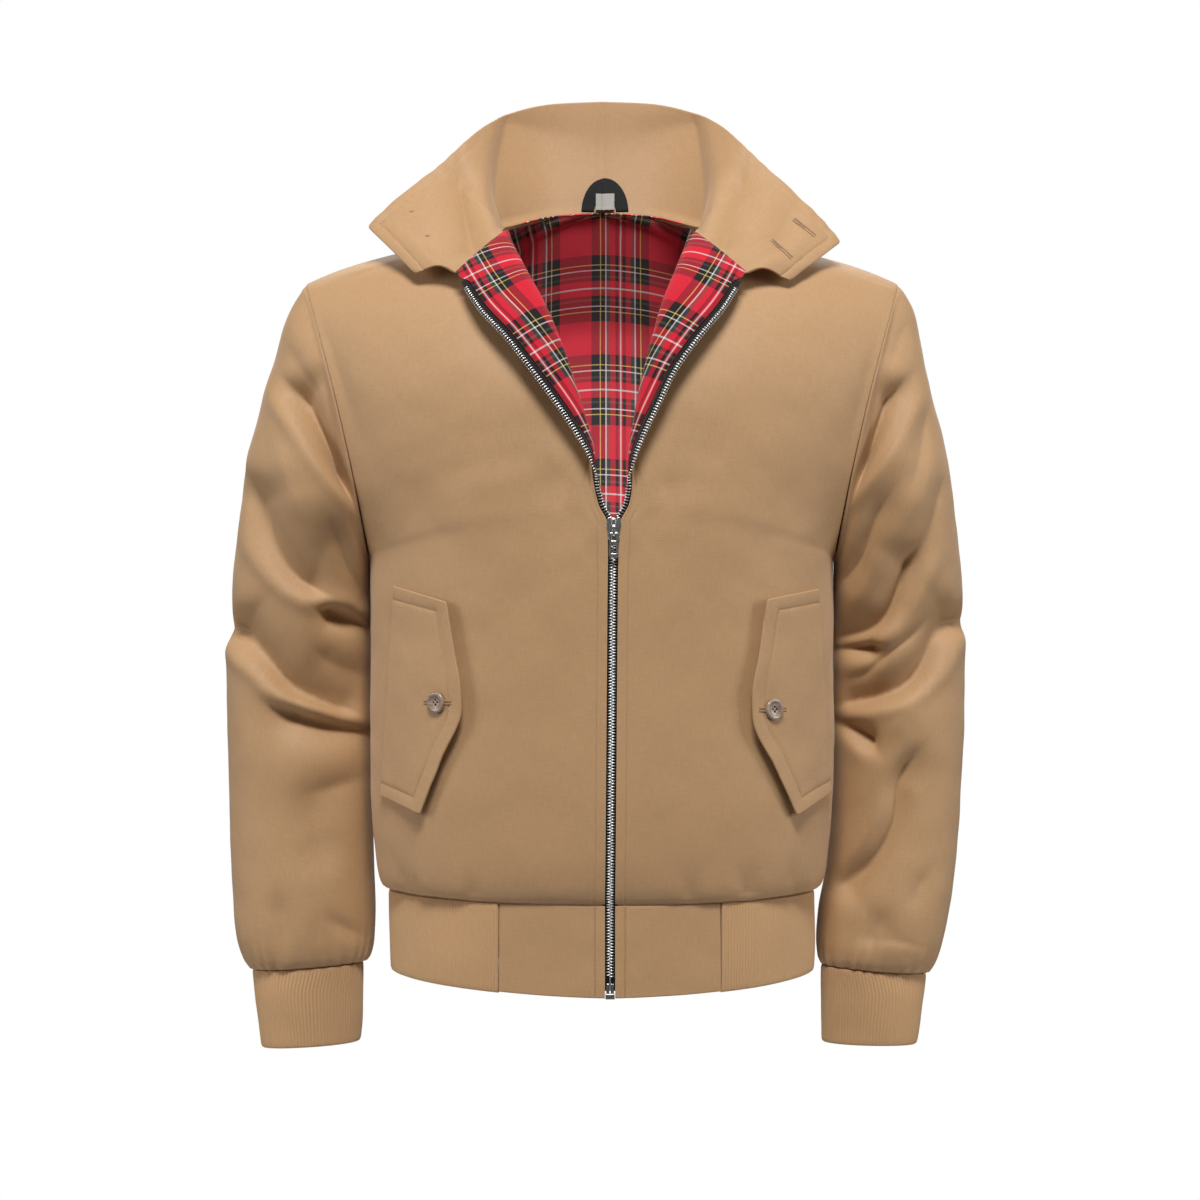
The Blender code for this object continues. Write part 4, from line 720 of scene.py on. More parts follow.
def front_surface(side, depth, edge, gap):
    """A front's grid, its distances from the chain, and the number of its columns that are turned out."""
    whole = opened_rows(side, FRONT_LEVELS, depth)
    run = runs(whole)
    roll = run[:, DENSE - 1]
    share = np.linspace(0, 1, STRIP_COLUMNS + 1)[None, 1:-1]
    near = np.array([0, 0.12, 0.4, 1.0])[None] * MM
    first = edge(FRONT_LEVELS)[:, None]
    strip = first + np.concatenate([near * np.ones((len(roll), 1)),
                                    near[:, -1:] + (roll[:, None] - first - near[:, -1:]) * share], 1)
    lay = spaced(run[:, -1] - gap - roll, np.array([0, 0.5, 1.0, 1.4, 1.8, 2.4, 3.6, 5.5]) * MM, EDGE,
                 FRONT_COLUMNS)
    places = np.concatenate([strip, roll[:, None] + lay], 1)
    return along(whole, places), places, strip.shape[1]


def shares(line):
    """How far along a line each of its points lies, from 0 to 1."""
    run = runs(line[None])[0]
    return run / run[-1]


def front_neck(side, depth, first, gap):
    """The part of a front above its lapel, up to the shoulder, which starts on the lapel's last row."""
    rows = sunk_rows(front_row, side, NECK_LEVELS, depth, -1)
    grid = along(rows, (runs(rows)[:, -1:] - gap) * shares(first)[None])
    grid[0] = first
    return grid


def cornered(grid, across, up, radius):
    """Rounds a grid's free corners. across and up are each point's distances from its free edges there."""
    p, q = np.clip(1 - across / radius, 0, 1), np.clip(1 - up / radius, 0, 1)
    row_way = unit(np.gradient(grid, axis=1)) * np.sign(np.gradient(across, axis=1))[..., None]
    column_way = unit(np.gradient(grid, axis=0)) * np.sign(np.gradient(up, axis=0))[..., None]
    moved = row_way * (p * (1 - np.sqrt(1 - q * q / 2)) * radius)[..., None]
    return grid + moved + column_way * (q * (1 - np.sqrt(1 - p * p / 2)) * radius)[..., None]


def relaxed(grid, near, times=24):
    """Evens out a crease: near is 1 on points that settle between those above and below, and 0 elsewhere."""
    for _ in range(times):
        middle = (grid[:-2] + 2 * grid[1:-1] + grid[2:]) / 4
        grid = grid.copy()
        grid[1:-1] += (middle - grid[1:-1]) * near[1:-1, :, None]
    return grid


def tucked(grid, out, lap, distance=None):
    """A grid whose first rows run on, and inwards, into their seam."""
    distance = edge_distances(grid)[0] if distance is None else distance
    share = fade(distance, LAP_REACH, 0)[..., None]
    return grid - (unit(np.gradient(grid, axis=0)) * lap[0] + out * lap[1]) * share


def edge_distances(grid):
    """Each point's distance along its column from the grid's first and last rows."""
    up = runs(grid.transpose(1, 0, 2)).T
    return up, up[-1:] - up


def edge_distance(grid):
    """Each point's distance from the nearest edge of a grid."""
    run = runs(grid)
    return np.minimum(np.minimum(run, run[:, -1:] - run), np.minimum(*edge_distances(grid)))


def respaced(grid, start, end, count):
    """A grid whose columns are read again: close-set as listed near each end, even between."""
    columns = grid.transpose(1, 0, 2)
    places = spaced(runs(columns)[:, -1], start, end, count)
    return along(columns, places).transpose(1, 0, 2), places.T


def front_parts(side, depth, edge, shell):
    """The two welded grids of one front or its lining, with their uv: distances from the chain and up it."""
    grid, places, turned = front_surface(side, depth, edge, SEAM_GAP if shell else LINING_INSET)
    to_side = places[:, -1:] - places
    about = np.exp(-((FRONT_LEVELS - UNDERARM_AT) / CREASE_REACH) ** 2)[:, None]
    grid = relaxed(grid, about * fade(to_side, *CREASE_SIDE) * fade(places, *CREASE_CHAIN))
    neck = front_neck(side, depth, grid[-1, turned:], FRONT_SEAM if shell else LINING_INSET)
    hem, out = edge_distances(grid)[0], normals(grid, side)
    still = fade(hem, 0, FREE_HEM) * fade(to_side, 0, FREE_SIDE) * fade(places, *FREE_CHAIN)
    still[:, :turned] = 0
    folds = [(-1, BODY_FOLDS[0, -1])]
    if not shell:
        grid = folded(grid, out, folds, still)
        neck[0] = grid[-1, turned:]
    chain = bezier(lapel_row(side, FRONT_LEVELS), np.ones(1))[:, 0]
    tangent = unit(np.gradient(chain, axis=0))
    shift = ((grid - chain[:, None]) * tangent[:, None]).sum(-1)
    shift[:, turned:] = shift[:, turned:turned + 1]
    uv = np.stack([places, runs(chain[None])[0][:, None] + shift], -1)
    neck_uv = np.stack([np.repeat(places[-1:, turned:], len(neck), 0),
                        uv[-1, turned:, 1][None] + edge_distances(neck)[0]], -1)
    if shell:
        sink = seam_sink(to_side) + seam_sink(hem) + groove(places, ZIP_STITCH)
        sink += ZIP_SINK * (1 - np.clip((places - ZIP_HALF) / ZIP_ROLL, 0, 1)) ** 2
        neck_sink = seam_sink(runs(neck)[:, -1:] - runs(neck)) + seam_sink(edge_distances(neck)[1])
        grid = tucked(folded(grid, out, folds, still) - out * sink[..., None], out, HEM_LAP)
        neck = neck - normals(neck, side) * neck_sink[..., None]
    else:
        seam = bezier(front_row(side, NECK_LEVELS), np.zeros(1))[:, 0]
        neck_edge = neck[:, 0].copy()
        strip = fade(places / np.maximum(places[:, turned:turned + 1], 1e-6), 0.55, 1.0)[..., None]
        grid = brought_up(grid, neck_edge, seam, strip)
        neck = brought_up(neck, neck_edge, seam)
    neck[0] = grid[-1, turned:]
    return (grid, uv, side), (neck, neck_uv, side), places, turned


def brought_up(grid, edge, seam, share=1.0):
    """A lining's points near its neck edge, brought up to the inner face of the collar's seam."""
    lift = seam + COLLAR_INSIDE - edge
    points = grid.reshape(-1, 3)
    apart = np.linalg.norm(points[:, None] - edge[None], axis=-1)
    near = np.exp(-(apart - apart.min(1, keepdims=True)) / NECK_BLEND)
    move = near @ lift / near.sum(1, keepdims=True) * (1 - fade(apart.min(1), 0, NECK_REACH))[:, None]
    return grid + move.reshape(grid.shape) * share


def back_parts(depth, shell):
    """The grids of the back or its lining, below the neck and on both shoulders, with their uv."""
    halves = {}
    for side in SIDES:
        rows = sunk_rows(back_row, side, BACK_LEVELS, depth, 1)
        places = spaced(runs(rows)[:, -1] - (SEAM_GAP if shell else LINING_INSET), [0], EDGE, BACK_COLUMNS)
        halves[side] = along(rows, places), places
    (right, right_places), (left, left_places) = halves[-1], halves[1]
    grid = np.concatenate([right[:, ::-1], left[:, 1:]], 1)
    across = np.concatenate([-right_places[:, ::-1], left_places[:, 1:]], 1)
    to_side = np.minimum(across - across[:, :1], across[:, -1:] - across)
    about = np.exp(-((BACK_LEVELS - UNDERARM_AT) / CREASE_REACH) ** 2)[:, None]
    grid = relaxed(grid, about * fade(to_side, *CREASE_SIDE))
    hem, out = edge_distances(grid)[0], normals(grid, -1)
    up = hem - hem[np.argmin(abs(BACK_LEVELS - SHOULDER_BLADES_AT))]
    still = fade(hem, 0, FREE_HEM) * fade(to_side, 0, FREE_SIDE)
    still[-8:] *= np.linspace(1, 0, 8)[:, None]
    grid = folded(grid, out, [(1, BODY_FOLDS[0, 1] + back_gathers())], still)
    if shell:
        grid = tucked(grid - out * (seam_sink(to_side) + seam_sink(hem))[..., None], out, HEM_LAP)
    parts = [(grid, np.stack([across, up], -1), -1)]
    edges, seams = [], []
    centre = BACK_COLUMNS + len(EDGE)
    for side in SIDES:
        rows = sunk_rows(back_row, side, BACK_NECK_LEVELS, depth, 1)
        first = grid[-1, centre:] if side > 0 else grid[-1, centre::-1]
        run = runs(rows)[:, -1:]
        share = shares(first)[None]
        shoulder = along(rows, (run - (FRONT_SEAM if shell else LINING_INSET)) * share)
        if shell:
            sink = seam_sink(run * (1 - share)) + seam_sink(edge_distances(shoulder)[1])
            shoulder = shoulder - normals(shoulder, -side) * sink[..., None]
        shoulder[0] = first
        edges.append(shoulder[:, 0])
        seams.append(bezier(back_row(side, BACK_NECK_LEVELS), np.zeros(1))[:, 0])
        u = (BACK_IN.at(BACK_NECK_LEVELS)["x"][:, None] + runs(shoulder)) * side
        v = up[-1, centre:][None] + edge_distances(shoulder)[0]
        parts.append((shoulder, np.stack([u, v], -1), -side))
    if shell:
        return parts
    edge, seam = np.concatenate(edges), np.concatenate(seams)
    return [(brought_up(part, edge, seam), uv, sign) for part, uv, sign in parts]


# Sleeves and cuffs
SLEEVE_COLUMNS = "at out_x out_z in_x in_z y front back"
SLEEVES = {
    -1: Table(SLEEVE_COLUMNS, [
        (0, 0.2545, -0.069, 0.1985, -0.305, 0, 0.064, 0.066),
        (0.05, 0.2705, -0.0945, 0.1993, -0.309, 0.001, 0.066, 0.068),
        (0.12, 0.284, -0.138, 0.1995, -0.318, 0.004, 0.067, 0.069),
        (0.2, 0.2965, -0.183, 0.1995, -0.331, 0.009, 0.066, 0.068),
        (0.3, 0.31, -0.236, 0.1995, -0.353, 0.017, 0.064, 0.066),
        (0.4, 0.315, -0.285, 0.1996, -0.382, 0.024, 0.062, 0.064),
        (0.5, 0.321, -0.335, 0.1997, -0.417, 0.029, 0.06, 0.062),
        (0.6, 0.326, -0.39, 0.1995, -0.458, 0.031, 0.058, 0.06),
        (0.72, 0.3245, -0.478, 0.199, -0.52, 0.03, 0.056, 0.057),
        (0.82, 0.3215, -0.548, 0.1975, -0.572, 0.026, 0.053, 0.054),
        (0.9, 0.3185, -0.6, 0.196, -0.608, 0.02, 0.05, 0.051),
        (0.95, 0.315, -0.63, 0.197, -0.632, 0.016, 0.046, 0.047),
        (0.98, 0.309, -0.649, 0.2005, -0.646, 0.014, 0.04, 0.041),
        (1, 0.302, -0.659, 0.206, -0.652, 0.013, 0.033, 0.034),
    ]),
    1: Table(SLEEVE_COLUMNS, [
        (0, 0.2545, -0.069, 0.1985, -0.305, 0, 0.064, 0.066),
        (0.05, 0.269, -0.0965, 0.1993, -0.309, 0.001, 0.066, 0.068),
        (0.12, 0.281, -0.15, 0.1995, -0.318, 0.004, 0.067, 0.069),
        (0.2, 0.292, -0.197, 0.1995, -0.331, 0.009, 0.066, 0.068),
        (0.3, 0.3015, -0.245, 0.1995, -0.353, 0.017, 0.064, 0.066),
        (0.4, 0.3095, -0.292, 0.1996, -0.382, 0.024, 0.062, 0.064),
        (0.5, 0.314, -0.34, 0.1997, -0.417, 0.029, 0.06, 0.062),
        (0.6, 0.315, -0.395, 0.1995, -0.458, 0.031, 0.058, 0.06),
        (0.72, 0.313, -0.478, 0.1985, -0.52, 0.03, 0.056, 0.057),
        (0.82, 0.308, -0.552, 0.1935, -0.574, 0.026, 0.053, 0.054),
        (0.9, 0.3015, -0.603, 0.187, -0.608, 0.02, 0.05, 0.051),
        (0.95, 0.295, -0.636, 0.185, -0.633, 0.016, 0.046, 0.047),
        (0.98, 0.288, -0.653, 0.186, -0.647, 0.014, 0.04, 0.041),
        (1, 0.28, -0.662, 0.1895, -0.6545, 0.013, 0.033, 0.034),
    ]),
}
CUFFS = {
    -1: Table(SLEEVE_COLUMNS, [
        (0, 0.3015, -0.6591, 0.2065, -0.6521, 0.013, 0.0325, 0.0335),
        (1, 0.2925, -0.7245, 0.2085, -0.719, 0.01, 0.0285, 0.0295),
    ]),
    1: Table(SLEEVE_COLUMNS, [
        (0, 0.2795, -0.6621, 0.19, -0.6546, 0.013, 0.0325, 0.0335),
        (1, 0.271, -0.7215, 0.1895, -0.7195, 0.01, 0.0285, 0.0295),
    ]),
}
SLEEVE_LEVELS = np.concatenate([[0, 0.0012, 0.003, 0.006], np.linspace(0.012, 0.94, 160),
                                np.linspace(0.944, 1, 14)])
SLEEVE_ANGLES = np.concatenate([np.linspace(0, np.pi, 96), np.linspace(np.pi, 2 * np.pi, 46)[1:]])
CUFF_GATHERS = 23
ARMHOLE_EASE = 12 * MM
FREE_ARMHOLE = (0.4 * MM, 9 * MM)
FREE_CUFF = 14 * MM
GATHER_DEPTH = 1.1 * MM
GATHER_REACH = 15 * MM
# The hollow beside the armhole's seam
TUCK_DEPTH = 4.2 * MM
TUCK_REACH = 17 * MM


def rings(table, side, at, angles):
    """Rings of a sleeve: angle 0 is its outer side, a quarter turn its front, a half turn its inner side."""
    row = {name: values[:, None] for name, values in table.at(at).items()}
    turn, rise = np.cos(angles)[None], np.sin(angles)[None]
    depth = np.where(rise > 0, row["front"], row["back"]) * rise
    hollow = ARMHOLE_HOLLOW * np.maximum(0, 1 - at / 0.3)[:, None] * rise ** 2
    x = (row["out_x"] + row["in_x"]) / 2 + (row["out_x"] - row["in_x"]) / 2 * turn - hollow
    z = (row["out_z"] + row["in_z"]) / 2 + (row["out_z"] - row["in_z"]) / 2 * turn
    return xyz(x * side, row["y"] - depth, z)


def sleeve_grid(side):
    """A sleeve's rings with its folds, gathered into the cuff, and their uv."""
    angles = SLEEVE_ANGLES
    grid = rings(SLEEVES[side], side, SLEEVE_LEVELS, angles)
    down, up = edge_distances(grid)
    grid = grid + unit(np.gradient(grid, axis=0)) * (ARMHOLE_SEAM / 2 * fade(down, ARMHOLE_EASE, 0))[..., None]
    out = closed_normals(grid, side)
    u = runs(grid)
    still = fade(down, *FREE_ARMHOLE) * fade(up, 0, FREE_CUFF)
    uneven = 0.9 * np.sin(3 * angles + side) + 0.5 * np.sin(7 * angles)
    gather = GATHER_DEPTH * np.sin(CUFF_GATHERS * angles + 2.2 * uneven)[None] * (1 + 0.5 * uneven[None])
    gather = gather * np.exp(-up / GATHER_REACH) * fade(up, 0, 3 * MM)
    tuck = TUCK_DEPTH * fade(down, 0.3 * MM, 5 * MM) * np.exp(-down / TUCK_REACH)
    tuck = tuck * fade(abs(np.sin(angles)), 0.2, 0.7) * np.where(np.sin(angles) > 0, 1.0, 0.6)
    sink = 0.8 * seam_sink(down) + seam_sink(up) + gather + tuck
    # folds on the inner side would reach the body, so they sink along the sleeve's depth instead
    inner = fade(-np.cos(angles), 0.45, 0.95)[None]
    ways = out * np.stack(np.broadcast_arrays(1 - 0.92 * inner, 1.0, 1 - 0.4 * inner), -1)
    grid = folded(grid, ways, [(face, SLEEVE_FOLDS[side, face]) for face in (-1, 1)], still)
    grid = tucked(grid - out * sink[..., None], out, SLEEVE_LAP, down)
    grid[:, -1] = grid[:, 0]
    return grid, np.stack([u, down.mean(1, keepdims=True) * np.ones_like(u)], -1)


def closed_normals(grid, sign):
    """The way out of a tube's surface, whose last column is its first again."""
    wide = np.concatenate([grid[:, -2:-1], grid, grid[:, 1:2]], 1)
    return normals(wide, sign)[:, 1:-1]


# Hem band
BAND = Table("at side_x side_z front_y front_z back_y back_z", [
    (0, 0.1822, -0.5885, -0.1232, -0.5925, 0.0982, -0.5885),
    (1, 0.1812, -0.656, -0.1222, -0.669, 0.097, -0.656),
])
TAB_WIDTH = 90 * MM
BAND_RIBS = 286
CUFF_RIBS = 92
RIB_ROWS = 11
RIB_POINTS = 5
RIB_PITCH = 2.6 * MM
RIB_LIP = 0.9 * MM
RIB_FADE = 2.5 * MM
CUFF_SAG = 0.6 * MM
BAND_BULGE = 0.8 * MM
TAB_STITCH = 8.2 * MM


def band_rows(at):
    """The band's outline at each height, from the zip round the wearer's right, the back and the left again."""
    row = BAND.at(at)
    zip_x = CHAIN.at(np.zeros(1))["middle"][0]
    t = np.linspace(0, 1, DENSE)
    made = []
    for hand in (-1, 1):
        front = xyz(ZIP_HALF + zip_x * hand, row["front_y"], row["front_z"])
        side, back = xyz(row["side_x"], 0, row["side_z"]), xyz(0, row["back_y"], row["back_z"])
        lift = xyz(0.11, 0, 0.003 * at)
        first = bezier(np.stack([front, front + lift, side - (0, 0.068, 0), side], 1), t)
        second = bezier(np.stack([side, side + (0, 0.056, 0), back + (0.11, 0, 0), back], 1), t)
        half = np.concatenate([first, second[:, 1:]], 1) * (hand, 1, 1)
        made.append(half if hand < 0 else half[:, ::-1][:, 1:])
    return np.concatenate(made, 1)


# Collar
COLLAR_TOP = Table("at x y z", [
    (0, 0, 0.098, 0.1025),
    (0.15, 0.045, 0.093, 0.0995),
    (0.3, 0.083, 0.07, 0.088),
    (0.42, 0.104, 0.04, 0.0725),
    (0.53, 0.1185, 0.016, 0.057),
    (0.65, 0.14, -0.002, 0.035),
    (0.76, 0.162, -0.015, 0.0156),
    (0.87, 0.182, -0.024, -0.0034),
    (1, 0.2005, -0.032, -0.0226),
])
COLLAR_EAR = Table("at x y z", [
    (0, 0.124, -0.07, -0.06),
    (0.35, 0.136, -0.072, -0.056),
    (1, 0.156, -0.074, -0.067),
])
CORNER_AT = 0.87
WING_DROOP = {-1: 0.0, 1: 0.014}
WING_REACH = {-1: -0.001, 1: 0.002}
COLLAR_STITCH = 9.5 * MM
WING_LENGTH = 150 * MM
WING_END = (30 * MM, 12 * MM)
WING_CORNERS = (3.5 * MM, 5 * MM)
PUCKER_HEIGHT, PUCKER_PITCH = 0.5 * MM, 3.6 * MM
WELT_HEIGHT = 1.1 * MM
COLLAR_ACROSS = 92
COLLAR_UP = 20


def neckline(side):
    """The neck seam of one side, from the centre back to the corner of the turned-out front."""
    start = np.zeros(1)
    back = bezier(back_row(side, np.linspace(NECK_BACK_AT, 1, 60)), start)[:, 0]
    front = bezier(front_row(side, np.linspace(1, ROLL_TOP_AT, 40)), start)[:, 0]
    lapel = bezier(lapel_row(side, np.array([ROLL_TOP_AT])), np.linspace(0, 1, 60))[0]
    return np.concatenate([back, front[1:], lapel[1:]])


def collar_half(side, count=160, rises=60):
    """Rows across the collar from the centre back to one end, each from the seam to the upper edge."""
    seam = neckline(side)
    whole = runs(seam[None])[0, -1]
    at = np.linspace(0, 1, count)
    low = along(seam[None], (whole * np.minimum(at / CORNER_AT, 1))[None])[0]
    past = np.clip((at - CORNER_AT) / (1 - CORNER_AT), 0, 1)
    ear, start = COLLAR_EAR.at(past), COLLAR_EAR.at(np.zeros(1))
    corner = seam[-1] * (side, 1, 1)
    shift = corner - xyz(start["x"], start["y"], start["z"])[0]
    beyond = (xyz(ear["x"], ear["y"], ear["z"]) + shift * (1 - past)[:, None]) * (side, 1, 1)
    low = np.where((at > CORNER_AT)[:, None], beyond, low)
    top = COLLAR_TOP.at(at)
    droop = WING_DROOP[side] * np.maximum(0, (at - 0.4) / 0.6) ** 1.3
    reach = WING_REACH[side] * np.minimum(1, at / 0.6)
    high = xyz((top["x"] + reach) * side, top["y"], top["z"] - droop)
    low = low - xyz(0, 0, 0.45 * droop * past)
    bow = xyz(0, 0.010 * (1 - at) - 0.004 * at, 0.004 * (1 - at))
    rise = np.linspace(0, 1, rises)[None, :, None]
    return low[:, None] + (high - low)[:, None] * rise + bow[:, None] * np.sin(np.pi * rise) * 0.8


def collar_grid():
    """The collar's middle surface, close-set at its edges and its topstitching, and distances from its edges."""
    right, left = collar_half(-1), collar_half(1)
    rows = np.concatenate([right[::-1], left[1:]])
    rows = rows - normals(rows) * COLLAR_WALL / 2
    near = np.concatenate([EDGE, stitch_steps(COLLAR_STITCH)])
    run = runs(rows)
    down = spaced(run[:, -1], near, EDGE, COLLAR_UP)[:, ::-1]
    grid = along(rows, run[:, -1:] - down)
    grid, around = respaced(grid, near, near, 2 * COLLAR_ACROSS)
    from_end = np.minimum(around, around[-1:] - around)
    run = runs(grid)
    return grid, run, run[:, -1:] - run, from_end, around


# Soft folds of the collar as charted: the drape of its wings and of the stand's inner face
COLLAR_FOLDS = [
    (6, 34, 7, 0, 1.4, 0.12, 0.08, [(513, 108), (503, 150), (499, 195), (507, 242)]),
    (6, 7, 34, 1.4, 0, 0.12, 0.08, [(688, 108), (697, 150), (700, 200), (693, 246)]),
    (14, 14, 24, 1.2, 0, 0.35, 0.12, [(460, 146), (463, 180), (467, 212), (474, 252)]),
    (10, 18, 14, 0, 0.8, 0.35, 0.16, [(744, 150), (738, 182), (731, 214), (722, 252)]),
    (4, 10, 14, 0.3, 0.1, 0.35, 0.35, [(800, 200), (786, 226), (772, 258)]),
]


# Pocket flaps
FLAP_COLUMNS = "at sewn_x sewn_z free_x free_z"
FLAPS = {
    -1: Table(FLAP_COLUMNS, [
        (0, -0.1733, -0.328, -0.1251, -0.3412),
        (0.25, -0.1763, -0.372, -0.1193, -0.38),
        (0.5, -0.1793, -0.417, -0.1134, -0.4202),
        (0.56, -0.18, -0.427, -0.1134, -0.4302),
        (0.78, -0.1827, -0.467, -0.13, -0.474),
        (1, -0.1853, -0.505, -0.1467, -0.518),
    ]),
    1: Table(FLAP_COLUMNS, [
        (0, 0.18, -0.3307, 0.1328, -0.3392),
        (0.25, 0.1832, -0.372, 0.127, -0.381),
        (0.5, 0.1864, -0.416, 0.121, -0.4227),
        (0.56, 0.1874, -0.429, 0.121, -0.4359),
        (0.78, 0.19, -0.467, 0.139, -0.478),
        (1, 0.1925, -0.503, 0.1573, -0.5195),
    ]),
}
FLAP_SEAT = 1.1 * MM
FLAP_LIFT = 5.5 * MM
FLAP_STITCH = 11.0 * MM
FLAP_BUTTONS = {-1: (-0.1358, -0.4247), 1: (0.1411, -0.4305)}
COLLAR_BUTTONS = [(-0.1616, -0.0111), (-0.1469, -0.0341)]
BUTTONHOLE_HALF = 11.5 * MM
LIP_PITCH = 0.5 * MM
LIP_OFFSET = 1.15 * MM
# Length, thickness and height of each kind of stitch, and of the dark dashes drawn as painted shade along the
# flaps' sewn edges and in the buttonhole slits
FLAP_SHADE_DASH = (1.5 * MM, 0.7 * MM, 0.05 * MM)
LIP_STITCH = (2.3 * MM, 0.5 * MM, 0.4 * MM)
SLIT_SHADE = (2 * BUTTONHOLE_HALF, 0.3 * MM, 0.1 * MM)
BUTTON_THREAD = (4.2 * MM, 0.9 * MM, 0.5 * MM)
STITCH_HEIGHT = 0.12 * MM
# How far seams lie above the middle of the cloth; the dark line of painted shade along each flap's sewn edge lies
# below it
TAB_RISE, FLAP_RISE, COLLAR_RISE, FLAP_SHADE_RISE = 0.9 * MM, 0.65 * MM, 0.6 * MM, -0.5 * MM
WING_BUTTONHOLES = [(0.1715, -0.0250, -0.73), (0.1507, -0.0454, -0.80)]
SLIDER = Vector((0.0096, -0.1384, -0.2814))
PULL_AXIS = Vector((0.0096, -0.1412, -0.2854))
LOOP_MIDDLE = 0.0026
LOOP_WIDTH, LOOP_THICK = 11 * MM, 1.1 * MM
LABEL_HALF, LABEL_HEIGHT, LABEL_THICK = 8.7 * MM, 15.5 * MM, 0.8 * MM
LABEL_FOOT, LABEL_DROP, LABEL_STAND = 2.5 * MM, 2 * MM, 4.1 * MM


def flap_surface(side, panel):
    """A flap's middle surface and the distances of its points from its sewn and free edges."""
    row = FLAPS[side].at(np.linspace(0, 1, 60))
    share = np.linspace(0, 1, 40)
    sewn, free = xyz(row["sewn_x"], 0, row["sewn_z"]), xyz(row["free_x"], 0, row["free_z"])
    flat = sewn[:, None] + (free - sewn)[:, None] * share[None, :, None]
    near = np.concatenate([EDGE, stitch_steps(FLAP_STITCH)])
    flat = along(flat, spaced(runs(flat)[:, -1], EDGE, near, 12))
    flat, _ = respaced(flat, near, near, 42)
    run = runs(flat)
    away = np.minimum(np.minimum(*edge_distances(flat)), run[:, -1:] - run)
    lift = FLAP_WALL / 2 + FLAP_SEAT + FLAP_LIFT * (run / run[:, -1:]) ** 1.5
    grid = np.array([[panel.at(x, z, off)[0] for (x, _, z), off in zip(*row)] for row in zip(flat, lift)])
    return grid, run, away


# Materials
def linear(text):
    """An sRGB hex colour as linear numbers."""
    parts = [int(text[k:k + 2], 16) / 255 for k in (1, 3, 5)]
    return (*(c / 12.92 if c <= 0.04045 else ((c + 0.055) / 1.055) ** 2.4 for c in parts), 1.0)


def shaded(colour, share):
    """A linear colour made darker or paler by a share."""
    return (*(min(1.0, c * share) for c in colour[:3]), 1.0)


def add(tree, kind, inputs=None, **settings):
    """Adds a node: settings are its properties, and inputs its sockets' values or what they are linked from."""
    made = tree.nodes.new(kind)
    for name, value in settings.items():
        setattr(made, name, value)
    for socket, value in (inputs or {}).items():
        if isinstance(value, bpy.types.NodeSocket):
            tree.links.new(value, made.inputs[socket])
        else:
            made.inputs[socket].default_value = value
    return made


def new_material(name, **sockets):
    """A material with one Principled shader, whose sockets are named with _ for a space."""
    made = bpy.data.materials.new(name)
    made.use_nodes = True
    tree = made.node_tree
    shader = tree.nodes["Principled BSDF"]
    for socket, value in sockets.items():
        shader.inputs[socket.replace("_", " ")].default_value = value
    return made, tree, shader


def ramp(tree, position, stops, interpolation="LINEAR"):
    """A colour ramp with these stops: place and colour."""
    made = add(tree, "ShaderNodeValToRGB", {"Fac": position})
    made.color_ramp.interpolation = interpolation
    elements = made.color_ramp.elements
    while len(elements) > 1:
        elements.remove(elements[-1])
    for k, (place, colour) in enumerate(stops):
        element = elements[0] if k == 0 else elements.new(place)
        element.position = place
        element.color = colour
    return made.outputs["Color"]


def slanting(tree, pitch, turn=None):
    """Waves of slanting yarn, pitch apart up the cloth; turn is how far they run before they lean back."""
    uv = add(tree, "ShaderNodeUVMap", uv_map="cloth").outputs["UV"]
    across, up, _ = add(tree, "ShaderNodeSeparateXYZ", {0: uv}).outputs
    lean = across
    if turn:
        lean = add(tree, "ShaderNodeMath", {0: across, 1: turn}, operation="PINGPONG").outputs[0]
    climb = add(tree, "ShaderNodeMath", {0: up, 1: lean}, operation="ADD").outputs[0]
    wave = add(tree, "ShaderNodeMath", {0: climb, 1: 2 * math.pi / pitch}, operation="MULTIPLY").outputs[0]
    return across, up, add(tree, "ShaderNodeMath", {0: wave}, operation="SINE").outputs[0]


def specks(tree, scale, detail):
    """Fine uneven specks that stay on the piece."""
    where = add(tree, "ShaderNodeTexCoord").outputs["Object"]
    return add(tree, "ShaderNodeTexNoise", {"Vector": where, "Scale": scale, "Detail": detail}).outputs[0]


def linked(tree, shader, colour, height=None, strength=0.0, depth=0.0):
    """Gives a finish its colour and, where it has a relief, its bumps."""
    tree.links.new(colour, shader.inputs["Base Color"])
    if height:
        bump = add(tree, "ShaderNodeBump", {"Height": height, "Strength": strength, "Distance": depth})
        tree.links.new(bump.outputs[0], shader.inputs["Normal"])


def poplin(colour):
    """Poplin, tightly woven polyester and cotton: a smooth face with a soft satin bloom and fine cross threads."""
    made, tree, shader = new_material("poplin", Roughness=0.68, Sheen_Weight=0.25, Sheen_Roughness=0.45,
                                      Sheen_Tint=linear("#F0E2D0"), Specular_IOR_Level=0.6)
    uv = add(tree, "ShaderNodeUVMap", uv_map="cloth").outputs["UV"]
    # threads lie 0.4 mm apart and are drawn at 0.9 mm so that they just show
    thread = 1 / (0.9 * MM)
    both = []
    for stretch in ((thread, thread * 0.08, 1), (thread * 0.08, thread, 1)):
        drawn = add(tree, "ShaderNodeMapping", {"Vector": uv, "Scale": stretch}).outputs[0]
        both.append(add(tree, "ShaderNodeTexNoise", {"Vector": drawn, "Scale": 1.0, "Detail": 1.0}).outputs[0])
    threads = add(tree, "ShaderNodeMath", {0: both[0], 1: both[1]}, operation="ADD").outputs[0]
    base = linear(colour)
    spread = add(tree, "ShaderNodeMapRange", {"Value": threads, "From Min": 0.7, "From Max": 1.3}).outputs[0]
    stops = [(0, shaded(base, 0.93)), (0.5, base), (1, shaded(base, 1.06))]
    linked(tree, shader, ramp(tree, spread, stops), threads, 0.1, 0.2 * MM)
    return made


